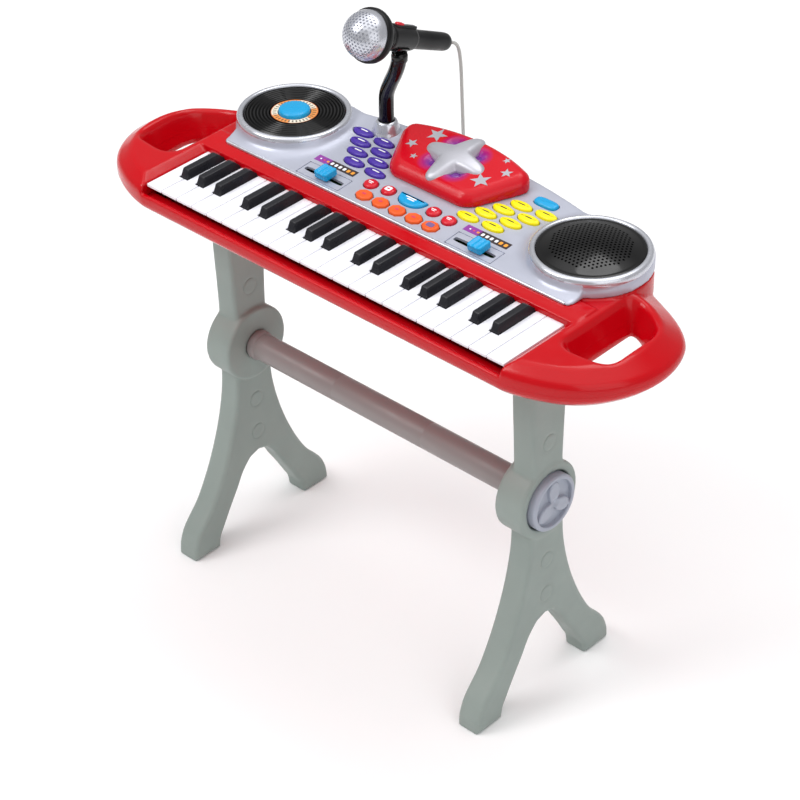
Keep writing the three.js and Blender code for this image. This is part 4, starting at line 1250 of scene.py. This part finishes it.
MIC_PLACE = Matrix.Translation(MIC_TAIL) @ mic_turn()
ARM_ROUTE = [(-101.2, 202, 446), (-101.2, 202, 466), (-101.2, 202, 480), (-99.5, 201.3, 494),
             (-92, 199, 509), (-83.5, 196.3, 523), (-77.5, 194.6, 536), (-75, 194, 549)]
CORD_ROUTE = [
    (-75, 266.3, 530.9), (-75, 270.5, 528.6), (-75, 274.6, 524.4), (-74.8, 277.2, 518),
    (-74.4, 278.6, 508), (-73.8, 279.2, 494), (-73, 279, 478), (-72, 278.6, 460),
    (-70.8, 278, 442), (-69.4, 277.2, 424), (-67.6, 276.2, 406), (-65.4, 275, 388),
    (-62.6, 273.2, 372), (-59, 270.6, 359), (-54.6, 267, 351), (-49.8, 262.6, 349.4),
    (-45.6, 258.4, 355), (-42.8, 255.2, 366), (-41.2, 253, 380), (-40.4, 251, 396),
    (-40, 248, 411), (-40, 243.2, 422.6), (-40, 238, 426.8), (-40, 233.6, 427),
]


def hexagon_ball(radius, divisions):
    """A ball of six-sided and five-sided faces."""
    ball = bmesh.new()
    bmesh.ops.create_icosphere(ball, subdivisions=divisions, radius=radius)
    ball.faces.ensure_lookup_table()
    centres = [f.calc_center_median().normalized() * radius for f in ball.faces]
    vertices = [tuple(c) for c in centres]
    faces = []
    for vertex in ball.verts:
        loop = vertex.link_loops[0]
        first, ring = loop, []
        while True:
            ring.append(loop.face.index)
            loop = loop.link_loop_prev.link_loop_radial_next
            if loop == first:
                break
        faces.append(ring[::-1])
    ball.free()
    return mesh_of(vertices, faces)


def mic_grille():
    """Silver hemisphere with rows of holes and a plain band by the collar."""
    mesh = hexagon_ball(24.0, 4)
    work = bmesh.new()
    work.from_mesh(mesh)
    bmesh.ops.recalc_face_normals(work, faces=work.faces)
    below = [f for f in work.faces if f.calc_center_median().z < -4]
    bmesh.ops.delete(work, geom=below, context="FACES")
    holed = [f for f in work.faces if f.calc_center_median().z > 10.5]
    bmesh.ops.inset_individual(work, faces=holed, thickness=0.78, use_even_offset=True)
    bmesh.ops.inset_individual(work, faces=holed, thickness=0.06, use_even_offset=True)
    for face in holed:
        push = face.normal * -1.2
        for vertex in face.verts:
            vertex.co += push
        face.material_index = 1
    out = bpy.data.meshes.new("grille")
    work.to_mesh(out)
    work.free()
    out.transform(MIC_PLACE @ Matrix.Translation((0, 0, 124.8)))
    return out


def microphone_pieces():
    piece("mic_grille", mic_grille(), "mic_arm", [BRIGHT_SILVER_AND_HIGHLIGHT, DARK], sharp=30)
    profile = [(0, 7), (5, 7.1), (7.2, 8), (8.4, 10), (9.0, 14), (9.2, 40), (9.4, 60), (9.7, 62),
               (11.0, 63.4), (11.4, 65), (11.8, 92), (12.2, 94), (12.4, 97.5), (12.0, 98.2),
               (12.8, 99.2), (13.6, 101.2), (13.2, 102), (14.4, 103), (15.8, 105.4), (15.6, 106.2),
               (17.2, 107.6), (20.4, 111.4), (23.2, 115), (24.0, 116), (23.8, 117), (25.4, 118.4),
               (26.0, 120), (26.1, 123.2), (25.7, 125.0), (24.9, 126.0), (24.2, 126.2), (23.4, 124),
               (0, 123)]
    body = lathe(profile, 64)
    body.transform(MIC_PLACE)
    piece("mic_body", body, "mic_arm", BLACK_SATIN, "microphone", sharp=32)
    lying = Matrix.Rotation(-math.pi / 2, 4, "X")
    track = cap_mesh(superellipse(3.6, 16.5, 8, 32), [(0, 0), (0, 2.4), (0.5, 2.9)])
    track.transform(MIC_PLACE @ Matrix.Translation((0, 10.0, 77)) @ lying)
    piece("mic_switch_track", track, "mic_arm", BLACK_SATIN)
    switch = merged([
        cap_mesh(superellipse(3.1, 4.3, 5, 32), [(0, 0), (0, 1.9), (0.4, 2.4)]),
        *[box(-2.4, 2.4, y - 0.35, y + 0.35, 2.2, 2.75) for y in (-2.2, -0.7, 0.8, 2.3)]])
    switch.transform(MIC_PLACE @ Matrix.Translation((0, 12.0, 84.2)) @ lying)
    piece("mic_switch_button", switch, "mic_switch", RED_BUTTON, "mic_switch")


def arm_pieces():
    route = smooth_route(ARM_ROUTE, 2.5)
    piece("arm_tube", tube(route, ARM_R, 32), "mic_arm", BLACK_GLOSS,
          "mic_arm", sharp=50)
    collar = lathe([(0, 540), (7.3, 540), (7.9, 541), (8.0, 546.5), (7.4, 548), (0, 553)], 40,
                   (ARM_ROUTE[-1][0], ARM_ROUTE[-1][1], 0))
    piece("arm_collar", collar, "mic_arm", BLACK_GLOSS)
    clip = []
    for i in range(31):
        a = math.radians(-142 + 104 * i / 30)
        clip.append((math.cos(a), math.sin(a)))
    rings = [[(r * c, r * s, z) for c, s in clip] for r, z in
             ((11.2, -8), (12.7, -8), (13.1, -7.2), (13.1, 7.2), (12.7, 8), (11.2, 8))]
    columns = [[ring[i] for ring in rings] for i in range(len(clip))]
    mesh = loft(columns)
    mesh.transform(MIC_PLACE @ Matrix.Translation((0, 0, 79.3)))
    piece("arm_clip", mesh, "mic_arm", BLACK_GLOSS, sharp=40)


def cord_pieces():
    route = [in_frame(p) for p in smooth_route(CORD_ROUTE, 2.5)]
    mesh = tube([p / MM for p in route], CORD_R, 16)
    mesh.transform(Matrix.Scale(MM, 4))
    cord = bpy.data.objects.new("mic_cord_tube", mesh)
    bpy.context.scene.collection.objects.link(cord)
    mesh.materials.append(CORD.material)
    mesh.shade_smooth()
    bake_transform(cord)
    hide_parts("mic_cord")


cord_pieces()


# ---- things under the skin -----------------------------------------------------------
def screw(name, x, y, z):
    """A cross-head screw whose head faces down."""
    head = lathe([(0, -3), (1.6, -3), (1.6, 0), (3.0, 0), (3.1, 0.5), (2.6, 1.3), (0, 1.6)], 28)
    cross = merged([box(-1.9, 1.9, -0.4, 0.4, 0.6, 2), box(-0.4, 0.4, -1.9, -0.45, 0.6, 2),
                    box(-0.4, 0.4, 0.45, 1.9, 0.6, 2)])
    head = cut_out(head, cross)
    head.transform(Matrix.Translation((x, y, z)) @ Matrix.Rotation(math.pi, 4, "X"))
    piece(name, head, "frame", METAL, sharp=40)


def hidden_pieces():
    board = prism([(-200, 116), (200, 116), (200, 136), (170, 178), (-170, 178), (-200, 136)],
                  425, 426.6)
    piece("circuit_board", board, "frame", GREEN_BOARD, bevel=0.3)
    for i in range(8):
        x = -168 + 48 * i
        chip = prism([(x - 7, 132), (x + 7, 132), (x + 7, 146), (x - 7, 146)], 426.6, 428.8)
        piece(f"board_chip_{i + 1}", chip, "frame", BLACK_SATIN, bevel=0.4)
    strip = box(-224, 224, 84, 92, 421.5, 425)
    piece("contact_strip", strip, "frame", RUBBER, bevel=0.6)


def underside_pieces():
    upside_down = Matrix.Rotation(math.pi, 4, "X")
    door = cap_mesh(superellipse(62, 24, 12, 64), [(0, 0), (0, 1.2), (0.8, 1.8)])
    door.transform(Matrix.Translation((0, 150, CASE_BOTTOM + 0.4)) @ upside_down)
    piece("battery_door", door, "frame", RED_CASE, sharp=40)
    latch = cap_mesh(superellipse(9, 3.5, 4, 32), [(0, 0), (0, 0.7), (0.3, 1.0)])
    latch.transform(Matrix.Translation((0, 168, CASE_BOTTOM - 1.2)) @ upside_down)
    piece("battery_door_latch", latch, "frame", RED_CASE)
    spots = [(x, y) for x in (-225, -120, 120, 225) for y in (20, 140)]
    for i, (x, y) in enumerate(spots):
        screw(f"case_screw_{i + 1}", x, y, CASE_BOTTOM + 0.2)
    relief = [(CORD_R + 0.2, 0), (4.2, 0), (4.2, 2.5), (3.6, 3), (3.6, 4), (3.4, 4.4), (3.2, 5.5),
              (3.0, 6), (2.9, 7.5), (CORD_R + 0.9, 11), (CORD_R + 0.2, 11)]
    mesh = lathe(relief, 32, hollow=True)
    x, _, z = CORD_ROUTE[-1]
    mesh.transform(Matrix.Translation((x, REAR_Y - 3, z)) @ Matrix.Rotation(-math.pi / 2, 4, "X"))
    piece("cord_relief", mesh, "frame", BLACK_SATIN)


# ---- build ---------------------------------------------------------------------------
white_keys()
black_keys()
case_pieces()
panel_pieces()
button_pieces()
slider_pieces()
label_strip("tempo", -123.5, -72, 128.1)
label_strip("volume", 67, 120, 127.9)
turntable_pieces()
speaker_pieces()
dome_pieces()
stand_pieces()
arm_pieces()
microphone_pieces()
hidden_pieces()
underside_pieces()


# ---- floor and light -----------------------------------------------------------------
def make_floor():
    floor = temporary(mesh_of([(-6, -6, 0), (6, -6, 0), (6, 6, 0), (-6, 6, 0)], [(0, 1, 2, 3)]))
    floor.name = "floor"
    surface = Surface("floor", Roughness=0.9)
    surface.colour(surface.mix(surface.noise(3.0), [0.93, 0.93, 0.94, 1], [0.96, 0.96, 0.96, 1]))
    floor.data.materials.append(surface.material)


def area_light(name, place, target, size, power):
    light = bpy.data.objects.new(name, bpy.data.lights.new(name, "AREA"))
    light.data.shape = "RECTANGLE"
    light.data.size, light.data.size_y = size
    light.data.energy = power
    light.location = place
    light.rotation_euler = (Vector(target) - Vector(place)).to_track_quat("-Z", "Y").to_euler()
    bpy.context.scene.collection.objects.link(light)


def make_light():
    world = bpy.context.scene.world or bpy.data.worlds.new("world")
    bpy.context.scene.world = world
    world.use_nodes = True
    tree = world.node_tree
    background = tree.nodes["Background"]
    background.inputs["Color"].default_value = (1, 1, 1, 1)
    way = tree.nodes.new("ShaderNodeTexCoord").outputs["Generated"]
    split = tree.nodes.new("ShaderNodeSeparateXYZ")
    tree.links.new(way, split.inputs[0])
    ramp = tree.nodes.new("ShaderNodeMapRange")
    ramp.interpolation_type = "SMOOTHSTEP"
    for socket, value in (("From Min", 0.6), ("From Max", 0.9), ("To Min", 0.38), ("To Max", 1.5)):
        ramp.inputs[socket].default_value = value
    tree.links.new(split.outputs["Z"], ramp.inputs["Value"])
    tree.links.new(ramp.outputs["Result"], background.inputs["Strength"])
    middle = (0, 0, 0.4)
    area_light("key", (-1.0, -1.4, 2.2), middle, (1.2, 1.2), 24)
    area_light("fill", (1.8, -0.6, 1.2), middle, (1.5, 1.5), 8)
    area_light("top", (0.1, 0.9, 2.4), middle, (1.6, 0.8), 10)


make_floor()
make_light()
bpy.context.scene.view_settings.view_transform = "Standard"
